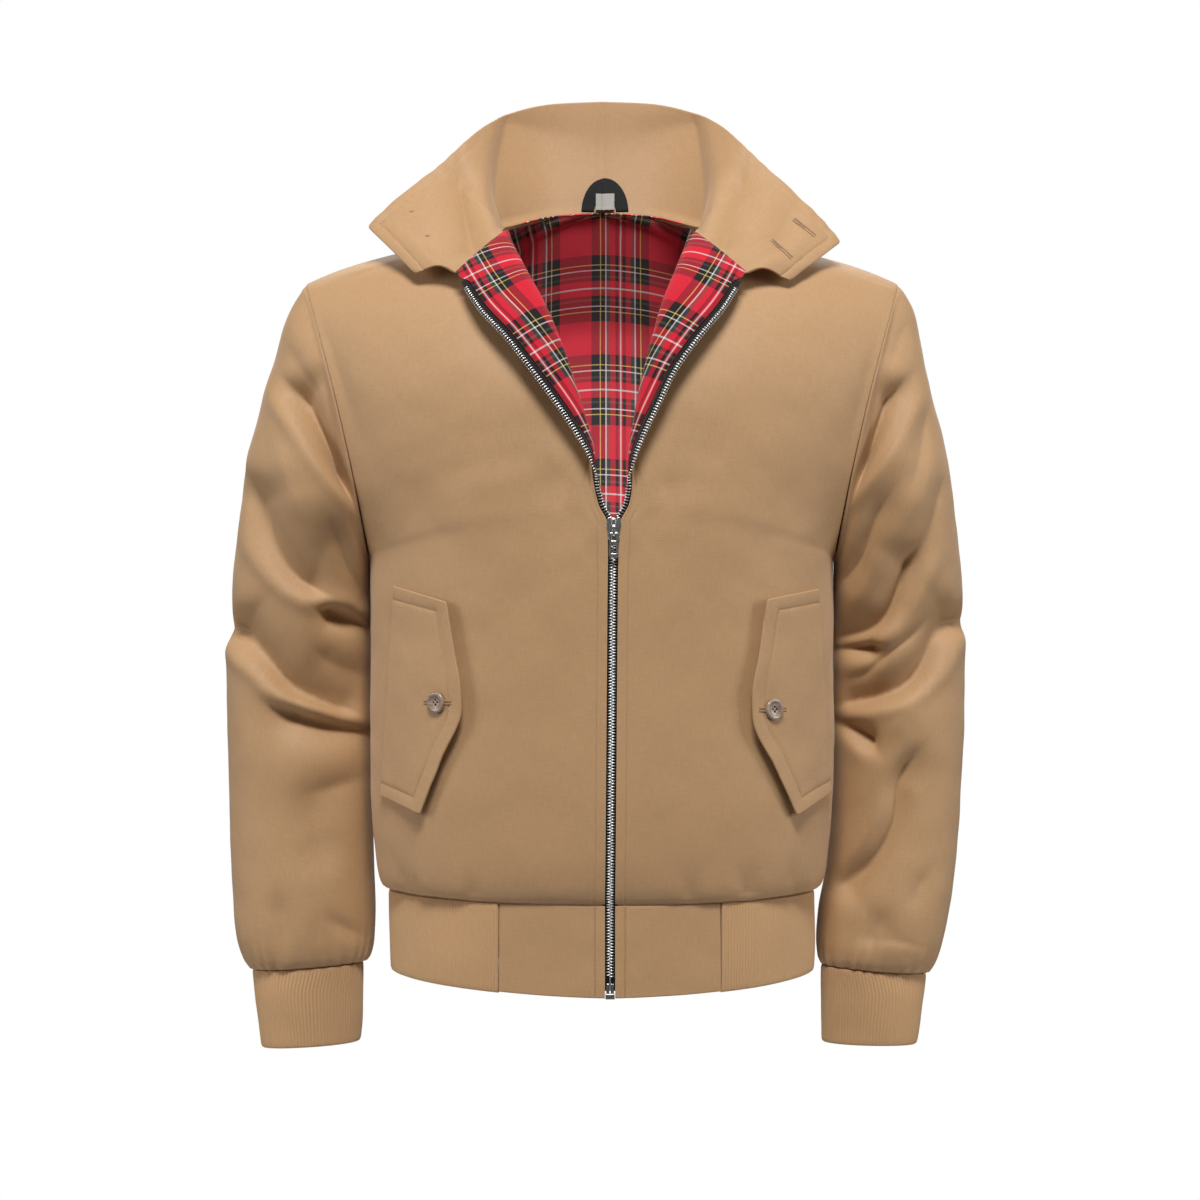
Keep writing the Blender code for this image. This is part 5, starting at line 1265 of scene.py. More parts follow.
def rib_knit(colour):
    """Rib knit of cotton yarn: matt and slightly hairy, with small V stitches down each rib."""
    made, tree, shader = new_material("rib_knit", Roughness=0.88, Sheen_Weight=0.45, Sheen_Roughness=0.6,
                                      Sheen_Tint=linear("#F0DDBB"), Specular_IOR_Level=0.2)
    # stitches stand 1.5 mm apart up a rib, and each leans into the middle of the rib
    stitch = slanting(tree, 1.5 * MM, RIB_PITCH / 2)[2]
    fluff = specks(tree, 900.0, 2.0)
    height = add(tree, "ShaderNodeMath", {0: stitch, 1: 0.5, 2: fluff}, operation="MULTIPLY_ADD").outputs[0]
    base = linear(colour)
    spread = add(tree, "ShaderNodeMapRange", {"Value": height, "From Min": -0.2, "From Max": 1.2}).outputs[0]
    # painted shade and painted highlight: the colour follows the stitches' relief, darker in the hollows between
    # them and paler on their tops, and the fluff varies it at random
    stops = [(0, shaded(base, 0.66)), (0.45, base), (1, shaded(base, 1.16))]
    linked(tree, shader, ramp(tree, spread, stops), height, 0.5, 0.3 * MM)
    return made


# A traditional tartan: each stripe by its distance in mm from its sett's middle, warp and weft, and its colour
TARTAN_COLOURS = {"white": "#D8D2CE", "red": "#C4182E", "dark": "#141418", "green": "#34453F", "black": "#0A0A0C",
                  "yellow": "#D2BE6C", "navy": "#0F1119"}
WARP_HALF, WARP = 41.0, [
    (0, "white"), (0.6, "red"), (1.8, "dark"), (4.6, "red"), (9.2, "green"), (12.6, "white"), (13.8, "black"),
    (17.8, "yellow"), (18.8, "navy"), (26.4, "red")]
WEFT_HALF, WEFT = 47.0, [
    (0, "white"), (0.6, "red"), (7.0, "dark"), (10.0, "green"), (12.0, "dark"), (16.7, "white"), (17.8, "black"),
    (21.7, "yellow"), (22.7, "navy"), (31.6, "red")]
# Where the sett's middle lies across and up each lining, how far its colour is brightened as painted light (the
# back lining is painted lighter than the front), and how much whitish painted sheen is added
BACK_SETT = (17 * MM, 16.5 * MM, 1.7, 0.035)
FRONT_SETT = (12 * MM, 0.0, 1.0, 0.004)
PALEST = 0.85


def tartan(name, across, up, bright, painted_sheen):
    """Brushed cotton tartan: a twill whose warp and weft stripes mix half and half."""
    made, tree, shader = new_material(name, Roughness=0.9, Sheen_Weight=0.3, Sheen_Roughness=0.5,
                                      Sheen_Tint=linear("#E8B0A8"), Specular_IOR_Level=0.15)
    # the twill's ribs lie 0.7 mm apart and are drawn at 1.2 mm so that they just show
    u, v, twill = slanting(tree, 1.2 * MM)
    colours = []
    for output, middle, half, stripes in ((u, across, WARP_HALF, WARP), (v, up, WEFT_HALF, WEFT)):
        share = output
        for operation, value in (("SUBTRACT", middle), ("PINGPONG", half * MM), ("DIVIDE", half * MM)):
            share = add(tree, "ShaderNodeMath", {0: share, 1: value}, operation=operation).outputs[0]
        stops = [(start / half, linear(TARTAN_COLOURS[colour])) for start, colour in stripes]
        colours.append(ramp(tree, share, stops, "CONSTANT"))
    share = add(tree, "ShaderNodeMath", {0: twill, 1: 0.18, 2: 0.5}, operation="MULTIPLY_ADD").outputs[0]
    mixed = add(tree, "ShaderNodeMix", {0: share, 6: colours[0], 7: colours[1]}, data_type="RGBA")
    nap = specks(tree, 700.0, 3.0)
    # painted light: the nap's random tone is scaled by the brightness, which paints the back lining lighter than
    # the front; then a whitish painted sheen is added and the colour is capped at PALEST
    nap_tone_and_painted_light = add(tree, "ShaderNodeMapRange", {
        "Value": nap, "To Min": 0.82 * bright, "To Max": 1.12 * bright}).outputs[0]
    tartan_with_painted_light = add(tree, "ShaderNodeVectorMath", {0: mixed.outputs[2], "Scale": nap_tone_and_painted_light}, operation="SCALE").outputs[0]
    for operation, value in (("ADD", painted_sheen), ("MINIMUM", PALEST)):
        tartan_with_painted_light = add(tree, "ShaderNodeVectorMath", {0: tartan_with_painted_light, 1: (value,) * 3}, operation=operation).outputs[0]
    height = add(tree, "ShaderNodeMath", {0: twill, 1: 0.4, 2: nap}, operation="MULTIPLY_ADD").outputs[0]
    linked(tree, shader, tartan_with_painted_light, height, 0.35, 0.3 * MM)
    return made


def woven_tape(name, colour, pale):
    """Woven polyester tape: dull, with a fine herringbone whose ridges are painted paler, a painted highlight."""
    made, tree, shader = new_material(name, Roughness=0.8, Specular_IOR_Level=0.25, Sheen_Weight=0.1)
    thread = slanting(tree, 0.9 * MM, 1.6 * MM)[2]
    share = add(tree, "ShaderNodeMapRange", {"Value": thread, "From Min": -1.0}).outputs[0]
    linked(tree, shader, ramp(tree, share, [(0, linear(colour)), (1, linear(pale))]), thread, 0.4, 0.15 * MM)
    return made


def zip_metal():
    """Nickel-plated brass, tumbled after stamping: bright, with soft scratches and greyer specks at random."""
    made, tree, shader = new_material("nickel_plate", Metallic=1.0)
    marks = specks(tree, 1500.0, 2.0)
    linked(tree, shader, ramp(tree, marks, [(0.25, linear("#A9A9A8")), (0.7, linear("#E2E1DE"))]))
    rough = add(tree, "ShaderNodeMapRange", {"Value": marks, "To Min": 0.2, "To Max": 0.42}).outputs[0]
    tree.links.new(rough, shader.inputs["Roughness"])
    return made


def button_plastic():
    """Cast polyester, made like horn: streaked brown with a soft polish."""
    made, tree, shader = new_material("cast_polyester", Roughness=0.32, Specular_IOR_Level=0.5,
                                      Coat_Weight=0.2, Coat_Roughness=0.2)
    where = add(tree, "ShaderNodeTexCoord").outputs["Object"]
    drawn = add(tree, "ShaderNodeMapping", {"Vector": where, "Scale": (120, 120, 420)}).outputs[0]
    streak = add(tree, "ShaderNodeTexNoise", {"Vector": drawn, "Scale": 1.0, "Detail": 3.0}).outputs[0]
    stops = [(0.3, linear("#7A6656")), (0.55, linear("#998474")), (0.75, linear("#B3A291"))]
    linked(tree, shader, ramp(tree, streak, stops))
    return made


def sewing_thread(name, colour):
    """Spun polyester sewing thread, slightly glossy along its twist."""
    made, tree, shader = new_material(name, Roughness=0.6, Specular_IOR_Level=0.35, Sheen_Weight=0.3)
    base = linear(colour)
    linked(tree, shader, ramp(tree, specks(tree, 2600.0, 2.0), [(0.3, shaded(base, 0.7)), (0.65, base)]))
    return made


MATERIALS = {}


def material(name):
    """Each finish, made once, in the colours that the user set."""
    if name not in MATERIALS:
        colours = bpy.context.scene.jacket_colours
        makers = {
            "poplin": lambda: poplin(colours.poplin),
            "rib": lambda: rib_knit(colours.rib),
            "back_lining": lambda: tartan("tartan_back", *BACK_SETT),
            "front_lining": lambda: tartan("tartan_front", *FRONT_SETT),
            "tape": lambda: woven_tape("zip_tape_weave", "#0A0A0B", "#1C1C1E"),
            "loop": lambda: woven_tape("loop_weave", "#0C0C0D", "#2A2A2C"),
            "label": lambda: woven_tape("label_weave", "#96938F", "#B4B1AB"),
            "metal": zip_metal,
            "button": button_plastic,
            "thread": lambda: sewing_thread("sewing_thread", colours.thread),
            # a dark thread that draws painted shade: the line along each flap's sewn edge and the bars in the
            # buttonhole slits
            "painted_shade_thread": lambda: sewing_thread("painted_shade_thread", "#6E5540"),
        }
        MATERIALS[name] = makers[name]()
    return MATERIALS[name]


# Geometry Nodes: pieces strung along a path, and ribs raised on a knitted wall
def new_tree(name, *inputs):
    """A tree with a geometry and these other inputs, label and kind, and what it is given."""
    tree = bpy.data.node_groups.new(name, "GeometryNodeTree")
    for label, kind in (("Geometry", "Geometry"), *inputs):
        tree.interface.new_socket(label, in_out="INPUT", socket_type="NodeSocket" + kind)
    tree.interface.new_socket("Geometry", in_out="OUTPUT", socket_type="NodeSocketGeometry")
    return tree, add(tree, "NodeGroupInput").outputs


def end_tree(tree, geometry, finish):
    """Ends a tree in one real mesh with its finish."""
    real = add(tree, "GeometryNodeRealizeInstances", {0: geometry})
    done = add(tree, "GeometryNodeSetMaterial", {"Geometry": real.outputs[0], "Material": finish})
    add(tree, "NodeGroupOutput", {0: done.outputs[0]})
    return tree


def string_tree():
    """A tree that sets a piece on each point, its X along the point's way and its Z out of the cloth."""
    name = "string_along"
    if name in bpy.data.node_groups:
        return bpy.data.node_groups[name]
    tree, given = new_tree(name, ("Piece", "Object"), ("Finish", "Material"))
    way, out = (add(tree, "GeometryNodeInputNamedAttribute", {"Name": label}, data_type="FLOAT_VECTOR").outputs[0]
                for label in ("way", "out"))
    first = add(tree, "FunctionNodeAlignRotationToVector", {"Vector": way}, axis="X")
    turned = add(tree, "FunctionNodeAlignRotationToVector", {"Rotation": first.outputs[0], "Vector": out},
                 axis="Z", pivot_axis="X")
    piece = add(tree, "GeometryNodeObjectInfo", {"Object": given["Piece"]})
    points = add(tree, "GeometryNodeMeshToPoints", {"Mesh": given["Geometry"]})
    strung = add(tree, "GeometryNodeInstanceOnPoints", {
        "Points": points.outputs[0], "Instance": piece.outputs["Geometry"], "Rotation": turned.outputs[0]})
    return end_tree(tree, strung.outputs[0], given["Finish"])


def rib_tree():
    """A tree that raises ribs on a knitted wall, from the counts stored on its points."""
    name = "raise_ribs"
    if name in bpy.data.node_groups:
        return bpy.data.node_groups[name]
    tree, given = new_tree(name, ("Height", "Float"), ("Finish", "Material"))
    rib, raised = (add(tree, "GeometryNodeInputNamedAttribute", {"Name": label}, data_type="FLOAT").outputs[0]
                   for label in ("rib", "raised"))
    out = add(tree, "GeometryNodeInputNamedAttribute", {"Name": "out"}, data_type="FLOAT_VECTOR").outputs[0]
    high = rib
    for operation, value in (("MULTIPLY", math.pi), ("SINE", 0.0), ("ABSOLUTE", 0.0), ("POWER", 0.7),
                             ("MULTIPLY", given["Height"]), ("MULTIPLY", raised)):
        high = add(tree, "ShaderNodeMath", {0: high, 1: value}, operation=operation).outputs[0]
    move = add(tree, "ShaderNodeVectorMath", {0: out, "Scale": high}, operation="SCALE").outputs[0]
    moved = add(tree, "GeometryNodeSetPosition", {"Geometry": given["Geometry"], "Offset": move})
    return end_tree(tree, moved.outputs[0], given["Finish"])


def plain(item):
    """An object's mesh as its modifiers leave it."""
    bpy.context.view_layer.update()
    graph = bpy.context.evaluated_depsgraph_get()
    return bpy.data.meshes.new_from_object(item.evaluated_get(graph))


def grown(item, tree, name, **inputs):
    """Runs a tree on an object, and returns its result as a plain mesh under this name."""
    modifier = item.modifiers.new("grow", "NODES")
    modifier.node_group = tree
    for label, value in inputs.items():
        socket = next(entry for entry in tree.interface.items_tree if entry.name == label)
        modifier[socket.identifier] = value
    item.update_tag()
    data = plain(item)
    bpy.data.objects.remove(item)
    data.name = name
    return placed(name, data)


def store(data, label, values, kind="FLOAT_VECTOR", slot="vector"):
    """Keeps a number or a vector on each point of a mesh, for a tree to read."""
    layer = data.attributes.new(label, kind, "POINT")
    layer.data.foreach_set(slot, values.astype(np.float32).ravel())


def stations(line, outs, pitch, start=0.0):
    """Places at even spacing along a line of points: each place, the way along the line and the way out."""
    line, outs = np.asarray(line), np.asarray(outs)
    run = runs(line[None])[0]
    even = np.arange(start, run[-1], pitch)
    places, way, out = (np.stack([np.interp(even, run, values[:, k]) for k in range(3)], -1)
                        for values in (line, unit(np.gradient(line, axis=0)), outs))
    return places, unit(way), unit(out)


def strung(name, sets, piece, finish):
    """A piece repeated at sets of places, as one plain mesh. The pattern piece is removed afterwards."""
    places, ways, outs = (np.concatenate([part[k] for part in sets]) for k in range(3))
    data = bpy.data.meshes.new("places")
    data.from_pydata(places.tolist(), [], [])
    store(data, "way", ways)
    store(data, "out", outs)
    made = grown(placed("places", data), string_tree(), name, Piece=piece, Finish=finish)
    bpy.data.objects.remove(piece)
    made.data.shade_smooth()
    return made


def finished(name, mesh, finish=None, smooth=True):
    """A worked mesh as an object of the scene."""
    bmesh.ops.recalc_face_normals(mesh, faces=mesh.faces)
    data = bpy.data.meshes.new(name)
    mesh.to_mesh(data)
    mesh.free()
    if smooth:
        data.shade_smooth()
    return placed(name, data, finish)


def skinned(mesh, rings):
    """Adds a closed skin over rings of points, each with as many points as the next."""
    rings = [[mesh.verts.new(point) for point in ring] for ring in rings]
    mesh.faces.new(rings[0])
    mesh.faces.new(rings[-1][::-1])
    for low, top in zip(rings, rings[1:]):
        for k in range(len(low)):
            n = (k + 1) % len(low)
            mesh.faces.new([low[k], low[n], top[n], top[k]])


def prism(mesh, outline, low, high, axis=1, bevel=0.4):
    """Adds a prism with rounded edges: its outline, in mm, in the plane across an axis, and its ends along it."""
    part = bmesh.new()
    skinned(part, [[MM * Vector(np.insert(point, axis, end)) for point in outline] for end in (low, high)])
    bmesh.ops.recalc_face_normals(part, faces=part.faces)
    if bevel:
        bmesh.ops.bevel(part, geom=part.edges[:], offset=bevel * MM, segments=3, profile=0.6, affect="EDGES",
                        clamp_overlap=True)
    data = bpy.data.meshes.new("part")
    part.to_mesh(data)
    part.free()
    mesh.from_mesh(data)
    bpy.data.meshes.remove(data)


def mirrored(outline):
    """An outline from one half of it, drawn on the right from the bottom to the top."""
    return outline + [(-x, z) for x, z in reversed(outline)]


def box_outline(x, z):
    return [(x[0], z[0]), (x[1], z[0]), (x[1], z[1]), (x[0], z[1])]


def cut_out(item, cutter, bevel):
    """An object less another one, which is removed, as a plain mesh with its edges broken."""
    cut = item.modifiers.new("cut", "BOOLEAN")
    cut.object = cutter
    cut.operation = "DIFFERENCE"
    cut.solver = "EXACT"
    edge = item.modifiers.new("edge", "BEVEL")
    edge.width = bevel
    edge.segments = 2
    edge.limit_method = "ANGLE"
    edge.angle_limit = math.radians(40)
    data = plain(item)
    item.modifiers.clear()
    item.data = data
    bpy.data.objects.remove(cutter)
    return item


BUTTON_SECTION = [(3.8, 1.5), (5.1, 1.7), (5.9, 2.3), (6.7, 2.65), (7.7, 2.65), (8.5, 2.1), (8.9, 1.3), (8.6, 0.4),
                  (7.6, 0.0)]
BUTTON_SIDES, HOLE_SIDES = 40, 14
HOLE_OFFSET, HOLE_RADIUS = 1.95, 0.95
HOLE_BEVEL = 0.12 * MM


def turned_button(name, place, way):
    """A four-hole button with a raised rim and a dish, its back at a place and its face along a way."""
    across = Vector((-way.y, way.x, 0)).normalized()
    up = way.cross(across)

    def ring(middle, radius, height, sides):
        return [middle + MM * (way * height + radius * (across * math.cos(a) + up * math.sin(a)))
                for a in np.linspace(0, 2 * np.pi, sides, endpoint=False)]

    mesh, drill = bmesh.new(), bmesh.new()
    skinned(mesh, [ring(place, radius, height, BUTTON_SIDES) for radius, height in BUTTON_SECTION])
    for middle in ring(place, HOLE_OFFSET, 0, 4):
        skinned(drill, [ring(middle, HOLE_RADIUS, height, HOLE_SIDES) for height in (-2, 5)])
    made = finished(name, mesh, material("button"))
    made = cut_out(made, finished("drill", drill, material("button")), HOLE_BEVEL)
    made.data.shade_smooth()
    return made


def sewn_button(node_name, surface, wall, face):
    """The finished button for a solid one, set on the cloth nearest to it. face is -1 in front and 1 behind."""
    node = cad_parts[node_name]
    points = [node.matrix_world @ vert.co for vert in node.data.vertices]
    middle = sum(points, Vector()) / len(points)
    near, normal, _, _ = surface.tree.find_nearest(middle)
    way = normal if normal.y * face > 0 else -normal
    return turned_button(node_name.replace("button", "horn"), near + way * (wall / 2 + 0.3 * MM), way)


def columns_of(entries):
    """Places, ways and ways out, from a list of all three for each place."""
    return tuple(np.array(column) for column in zip(*entries))


def buttonhole(surface, middle, turn, wall):
    """The sewn lips of a buttonhole: bars across both its sides, and the place of the slit between them, where a
    dark bar is drawn as painted shade.
    """
    along_x, along_z = math.cos(turn), math.sin(turn)
    bars = []
    for t in np.arange(-BUTTONHOLE_HALF, BUTTONHOLE_HALF, LIP_PITCH):
        for lip in (-LIP_OFFSET, LIP_OFFSET):
            x = middle[0] + t * along_x - lip * along_z
            z = middle[1] + t * along_z + lip * along_x
            point, way = surface.at(x, z, wall / 2 + 0.15 * MM)
            bars.append((point, Vector((-along_z, 0, along_x)), way))
    point, way = surface.at(*middle, wall / 2 + 0.1 * MM)
    return columns_of(bars), columns_of([(point, Vector((along_x, 0, along_z)), way)])


def capsule(length, thick, high):
    """One stitch: a low rounded bar along X whose ends dip into the cloth."""
    rings = []
    for t in np.linspace(0, 1, 5):
        radius = thick / 2 * math.sin(math.pi * (0.1 + 0.8 * t)) ** 0.6
        lift = high * (math.sin(math.pi * t) - 0.45)
        rings.append([((t - 0.5) * length, math.cos(a) * radius, lift + math.sin(a) * radius)
                      for a in np.linspace(0, 2 * np.pi, 6, endpoint=False)])
    mesh = bmesh.new()
    skinned(mesh, rings)
    return finished("stitch", mesh, smooth=False)


def knitted(name, outer, inner, count, sign, closed):
    """A ribbed wall: a fine outer face that the tree raises, a plain inner face, and its edges."""
    rows, columns = outer.shape[:2]
    out = closed_normals(outer, sign) if closed else normals(outer, sign)
    edge = (outer + inner) / 2
    # each rib is one pitch wide on the uv, however far it is stretched
    across = np.arange(columns) / RIB_POINTS * RIB_PITCH
    uv = np.stack(np.broadcast_arrays(across[None], edge_distances(outer)[1]), -1)
    bottom = edge[-1:] + unit(np.gradient(outer, axis=0))[-1:] * RIB_LIP
    shell = np.concatenate([inner[:1], edge[:1], outer, bottom, inner[::-1]], 0)
    raised = np.zeros(shell.shape[:2])
    raised[2:rows + 2] = fade(np.minimum(*edge_distances(outer)), 0, RIB_FADE)
    data = bpy.data.meshes.new(name)
    faces = quads(len(shell), columns)
    data.from_pydata(shell.reshape(-1, 3).tolist(), [], (faces if sign > 0 else faces[:, ::-1]).tolist())
    store(data, "rib", np.tile(np.arange(columns) / (columns - 1) * count, (len(shell), 1)), "FLOAT", "value")
    store(data, "raised", raised, "FLOAT", "value")
    store(data, "out", np.concatenate([out[:1], out[:1], out, out[:1], out], 0))
    lay_uv(data, np.concatenate([uv[:1], uv[:1], uv, uv[-1:], uv[::-1]], 0).reshape(-1, 2))
    made = grown(placed(name, data), rib_tree(), name, Height=bpy.context.scene.jacket_sizes.rib_height,
                 Finish=material("rib"))
    mesh = bmesh.new()
    mesh.from_mesh(made.data)
    bmesh.ops.remove_doubles(mesh, verts=mesh.verts, dist=RIB_WELD)
    if not closed:
        bmesh.ops.holes_fill(mesh, edges=[e for e in mesh.edges if e.is_boundary], sides=0)
    mesh.to_mesh(made.data)
    mesh.free()
    for label in ("rib", "raised", "out"):
        made.data.attributes.remove(made.data.attributes[label])
    made.data.shade_smooth()
    return made


# What the user sets
class JacketSizes(bpy.types.PropertyGroup):
    """Sizes of what is sewn, knitted and strung on the jacket."""

    tooth_pitch: bpy.props.FloatProperty(
        name="Tooth pitch", description="Distance between two teeth on one tape of the zip",
        default=2.45 * MM, subtype="DISTANCE", unit="LENGTH")
    stitch_pitch: bpy.props.FloatProperty(
        name="Stitch pitch", description="Distance from one stitch to the next in the topstitching",
        default=2.8 * MM, subtype="DISTANCE", unit="LENGTH")
    thread: bpy.props.FloatProperty(
        name="Thread", description="Thickness of the topstitching thread",
        default=0.42 * MM, subtype="DISTANCE", unit="LENGTH")
    rib_height: bpy.props.FloatProperty(
        name="Rib height", description="How far the knitted ribs stand up",
        default=0.6 * MM, subtype="DISTANCE", unit="LENGTH")


class JacketColours(bpy.types.PropertyGroup):
    """Colours of the jacket's cloths, as sRGB hex values."""

    poplin: bpy.props.StringProperty(name="Poplin", description="Colour of the shell cloth", default="#AE885F")
    rib: bpy.props.StringProperty(name="Rib", description="Colour of the ribbed knit", default="#BC936A")
    thread: bpy.props.StringProperty(name="Thread", description="Colour of the topstitching", default="#B08E6A")


# Operators
SHAPES = {}


class JACKET_OT_shell(bpy.types.Operator):
    """Make the fronts, the back and the sleeves of poplin"""

    bl_idname = "jacket.shell"
    bl_label = "Shell"

    def execute(self, context):
        cloth = material("poplin")
        for side, hand in SIDES.items():
            body, neck, places, turned = front_parts(side, 0.0, shell_edge, True)
            SHAPES["front", side] = body[0], places, turned
            item = walled(woven("shell_front_" + hand, [body, neck], cloth), SHELL_WALL)
            dress(item, "tan_poplin", "front_" + hand)
            grid, uv = sleeve_grid(side)
            SHAPES["sleeve", side] = grid
            item = walled(woven("shell_sleeve_" + hand, [(grid, uv, side)], cloth), SHELL_WALL)
            dress(item, "tan_poplin", "sleeve_" + hand)
        parts = back_parts(0.0, True)
        SHAPES["back"] = parts[0][0]
        item = walled(woven("shell_back", parts, cloth), SHELL_WALL)
        dress(item, "tan_poplin", "back")
        return {"FINISHED"}


class JACKET_OT_lining(bpy.types.Operator):
    """Make the tartan lining of the back and the two fronts"""

    bl_idname = "jacket.lining"
    bl_label = "Lining"

    def execute(self, context):
        for side, hand in SIDES.items():
            parts = front_parts(side, SHELL_WALL + LINING_GAP, lining_edge, False)[:2]
            item = walled(woven("lining_cloth_" + hand, parts, material("front_lining")), LINING_WALL)
            dress(item, "checked_lining", "lining_front_" + hand)
        parts = back_parts(SHELL_WALL + BACK_LINING_GAP, False)
        item = walled(woven("lining_cloth_back", parts, material("back_lining")), LINING_WALL)
        dress(item, "checked_lining", "lining_back")
        return {"FINISHED"}


class JACKET_OT_collar(bpy.types.Operator):
    """Make the collar with its opened wings"""

    bl_idname = "jacket.collar"
    bl_label = "Collar"

    def execute(self, context):
        grid, up, down, from_end, around = collar_grid()
        out = normals(grid)
        edge = np.minimum(down, from_end)
        wing = fade(from_end, WING_LENGTH, WING_LENGTH - 30 * MM)
        end = fade(from_end, *WING_END)
        pucker = PUCKER_HEIGHT * np.sin(around / PUCKER_PITCH + 2.4 * np.sin(around / (15 * MM)))
        pucker = pucker * np.exp(-((edge - 4 * MM) / (5 * MM)) ** 2) * (0.15 + 0.85 * wing)
        depth = -fold_depth(grid.reshape(-1, 3), -np.abs(out.reshape(-1, 3)) * (0, 1, 0), COLLAR_FOLDS, -1)
        depth = depth.reshape(edge.shape) * fade(up, 0, 8 * MM)
        soft = lumps(grid, *COLLAR_LUMPS) * fade(up, 0, 20 * MM)
        middle = grid + out * (pucker - depth + soft)[..., None]
        middle = cornered(middle, down, from_end, WING_CORNERS[0])
        middle = cornered(middle, up, from_end, WING_CORNERS[1])
        thick = rounded(np.minimum(edge, up), COLLAR_WALL)
        welt = fade(edge, 0.6 * MM, 2.4 * MM) * fade(edge, COLLAR_STITCH, 7 * MM)
        thick = thick * (1 - (1 - pressed(edge, COLLAR_STITCH)) * (0.3 * wing + 0.7 * end))
        thick = thick + WELT_HEIGHT * welt * end
        uv = np.stack([around, up], -1)
        item = doubled("collar_cloth", middle, uv, thick, 1, material("poplin"))
        SHAPES["collar"] = middle
        SHAPES["collar_end"] = from_end
        dress(item, "tan_poplin", "collar")
        return {"FINISHED"}


class JACKET_OT_ribs(bpy.types.Operator):
    """Knit the cuffs and the hem band, and sew the band's two cloth tabs"""

    bl_idname = "jacket.ribs"
    bl_label = "Ribs and tabs"

    def execute(self, context):
        at = np.concatenate([[0, 0.01, 0.03], np.linspace(0.06, 0.94, RIB_ROWS), [0.97, 0.99, 1]])
        for side, hand in SIDES.items():
            angles = np.linspace(0, 2 * np.pi, CUFF_RIBS * RIB_POINTS + 1)
            outer = rings(CUFFS[side], side, at, angles)
            out = closed_normals(outer, side)
            sag = CUFF_SAG * np.sin(np.pi * at)[:, None] - lumps(outer, *CUFF_LUMPS)
            outer = outer + out * sag[..., None]
            outer[:, -1] = outer[:, 0]
            item = knitted("cuff_knit_" + hand, outer, outer - out * RIB_WALL, CUFF_RIBS, side, True)
            dress(item, "tan_rib_knit", "cuff_" + hand)
        line = band_rows(at)
        run = runs(line)
        start = TAB_WIDTH + SEAM_GAP
        share = np.linspace(0, 1, BAND_RIBS * RIB_POINTS + 1)[None]
        outer = along(line, start + (run[:, -1:] - 2 * start) * share)
        out = normals(outer, 1)
        soft = BAND_BULGE * np.sin(np.pi * at)[:, None] + lumps(outer, *BAND_LUMPS)
        outer = outer + out * soft[..., None]
        item = knitted("band_knit", outer, outer - out * RIB_WALL, BAND_RIBS, 1, False)
        dress(item, "tan_rib_knit", "band_rib")
        for side, hand in SIDES.items():
            rows = line if side < 0 else line[:, ::-1]
            near = np.concatenate([EDGE, stitch_steps(TAB_STITCH)])
            places = spaced(np.full(len(rows), TAB_WIDTH - SEAM_GAP), near, EDGE, 30)
            grid, _ = respaced(along(rows, places), EDGE, EDGE, 22)
            sign = -side
            grid = grid - normals(grid, sign) * RIB_WALL / 2
            run, top = runs(grid), edge_distances(grid)[0]
            thick = rounded(edge_distance(grid), RIB_WALL) * pressed(run, TAB_STITCH)
            grid = grid + normals(grid, sign) * lumps(grid, *TAB_LUMPS)[..., None]
            item = doubled("tab_cloth_" + hand, grid, np.stack([run, top], -1), thick, sign, material("poplin"))
            SHAPES["tab", side] = grid, run
            dress(item, "tan_poplin", "band_tab_" + hand)
        return {"FINISHED"}


def tape_grid(side):
    """The woven tape of one half of the zip, hem to collar, and its distances from the chain's middle."""
    places = np.array([0.08, 0.6, 1.2, 2.2, 3.2, 4.2, 6.2]) * MM
    levels = np.unique(np.round(np.concatenate([np.linspace(0, 0.42, 50), np.linspace(0.42, 0.915, 110)]), 5))
    whole = opened_rows(side, levels, SHELL_WALL + LAYER_GAP, DENSE // 4)
    rows = along(whole, np.repeat(places[None], len(levels), 0))
    line = band_rows(np.array([0.92, 0.7, 0.5, 0.3, 0.12, 0.03]))
    line = line if side < 0 else line[:, ::-1]
    start, way = line[:, 0], unit(line[:, 1] - line[:, 0])
    band = start[:, None] + way[:, None] * (places - ZIP_HALF)[None, :, None] + (0, RIB_WALL + LAYER_GAP, 0)
    return np.concatenate([band, rows]), places


# A tooth's section, and its place, half width and height along it, in mm
TOOTH_OUTLINE = [(-1, -1), (-1, 0.6), (-0.55, 1), (0.55, 1), (1, 0.6), (1, -1)]
TOOTH_SECTIONS = [(-3.1, 0.4, 0.85), (-2.7, 0.56, 1.15), (-0.3, 0.58, 1.2), (0.4, 0.5, 1.0), (1.15, 0.42, 0.75)]
# Outlines of the slider's plate and bridge and of half the pull, in mm
SLIDER_PLATE = [(3.9, -9.4), (4.7, -8.6), (4.9, -4.0), (5.9, 1.0), (6.2, 4.5), (6.0, 7.2), (4.8, 9.1), (2.6, 9.4),
                (1.7, 8.3)]
SLIDER_BRIDGE = [(-0.9, -6.3), (-3.9, -6.2), (-5.0, -5.7), (-5.4, -4.8), (-5.4, 1.6), (-5.0, 2.5), (-3.9, 3.0),
                 (-0.9, 3.2), (-0.9, 1.9), (-3.7, 1.8), (-4.2, 1.3), (-4.2, -4.5), (-3.7, -5.0), (-0.9, -5.0)]
PULL_HALF = [(2.4, -20.4), (3.6, -19.5), (4.0, -17.6), (3.7, -8.5), (4.0, -2.0), (3.8, -0.2), (3.2, 0.6)]
PULL_BEVEL = 0.28 * MM


def tooth():
    """One stamped zip tooth: a rounded bar that clasps the tape, with a nib at its head, towards +Y."""
    mesh = bmesh.new()
    skinned(mesh, [[(x * half * MM, y * MM, z * high * MM) for x, z in TOOTH_OUTLINE]
                   for y, half, high in TOOTH_SECTIONS])
    return finished("tooth", mesh, smooth=False)


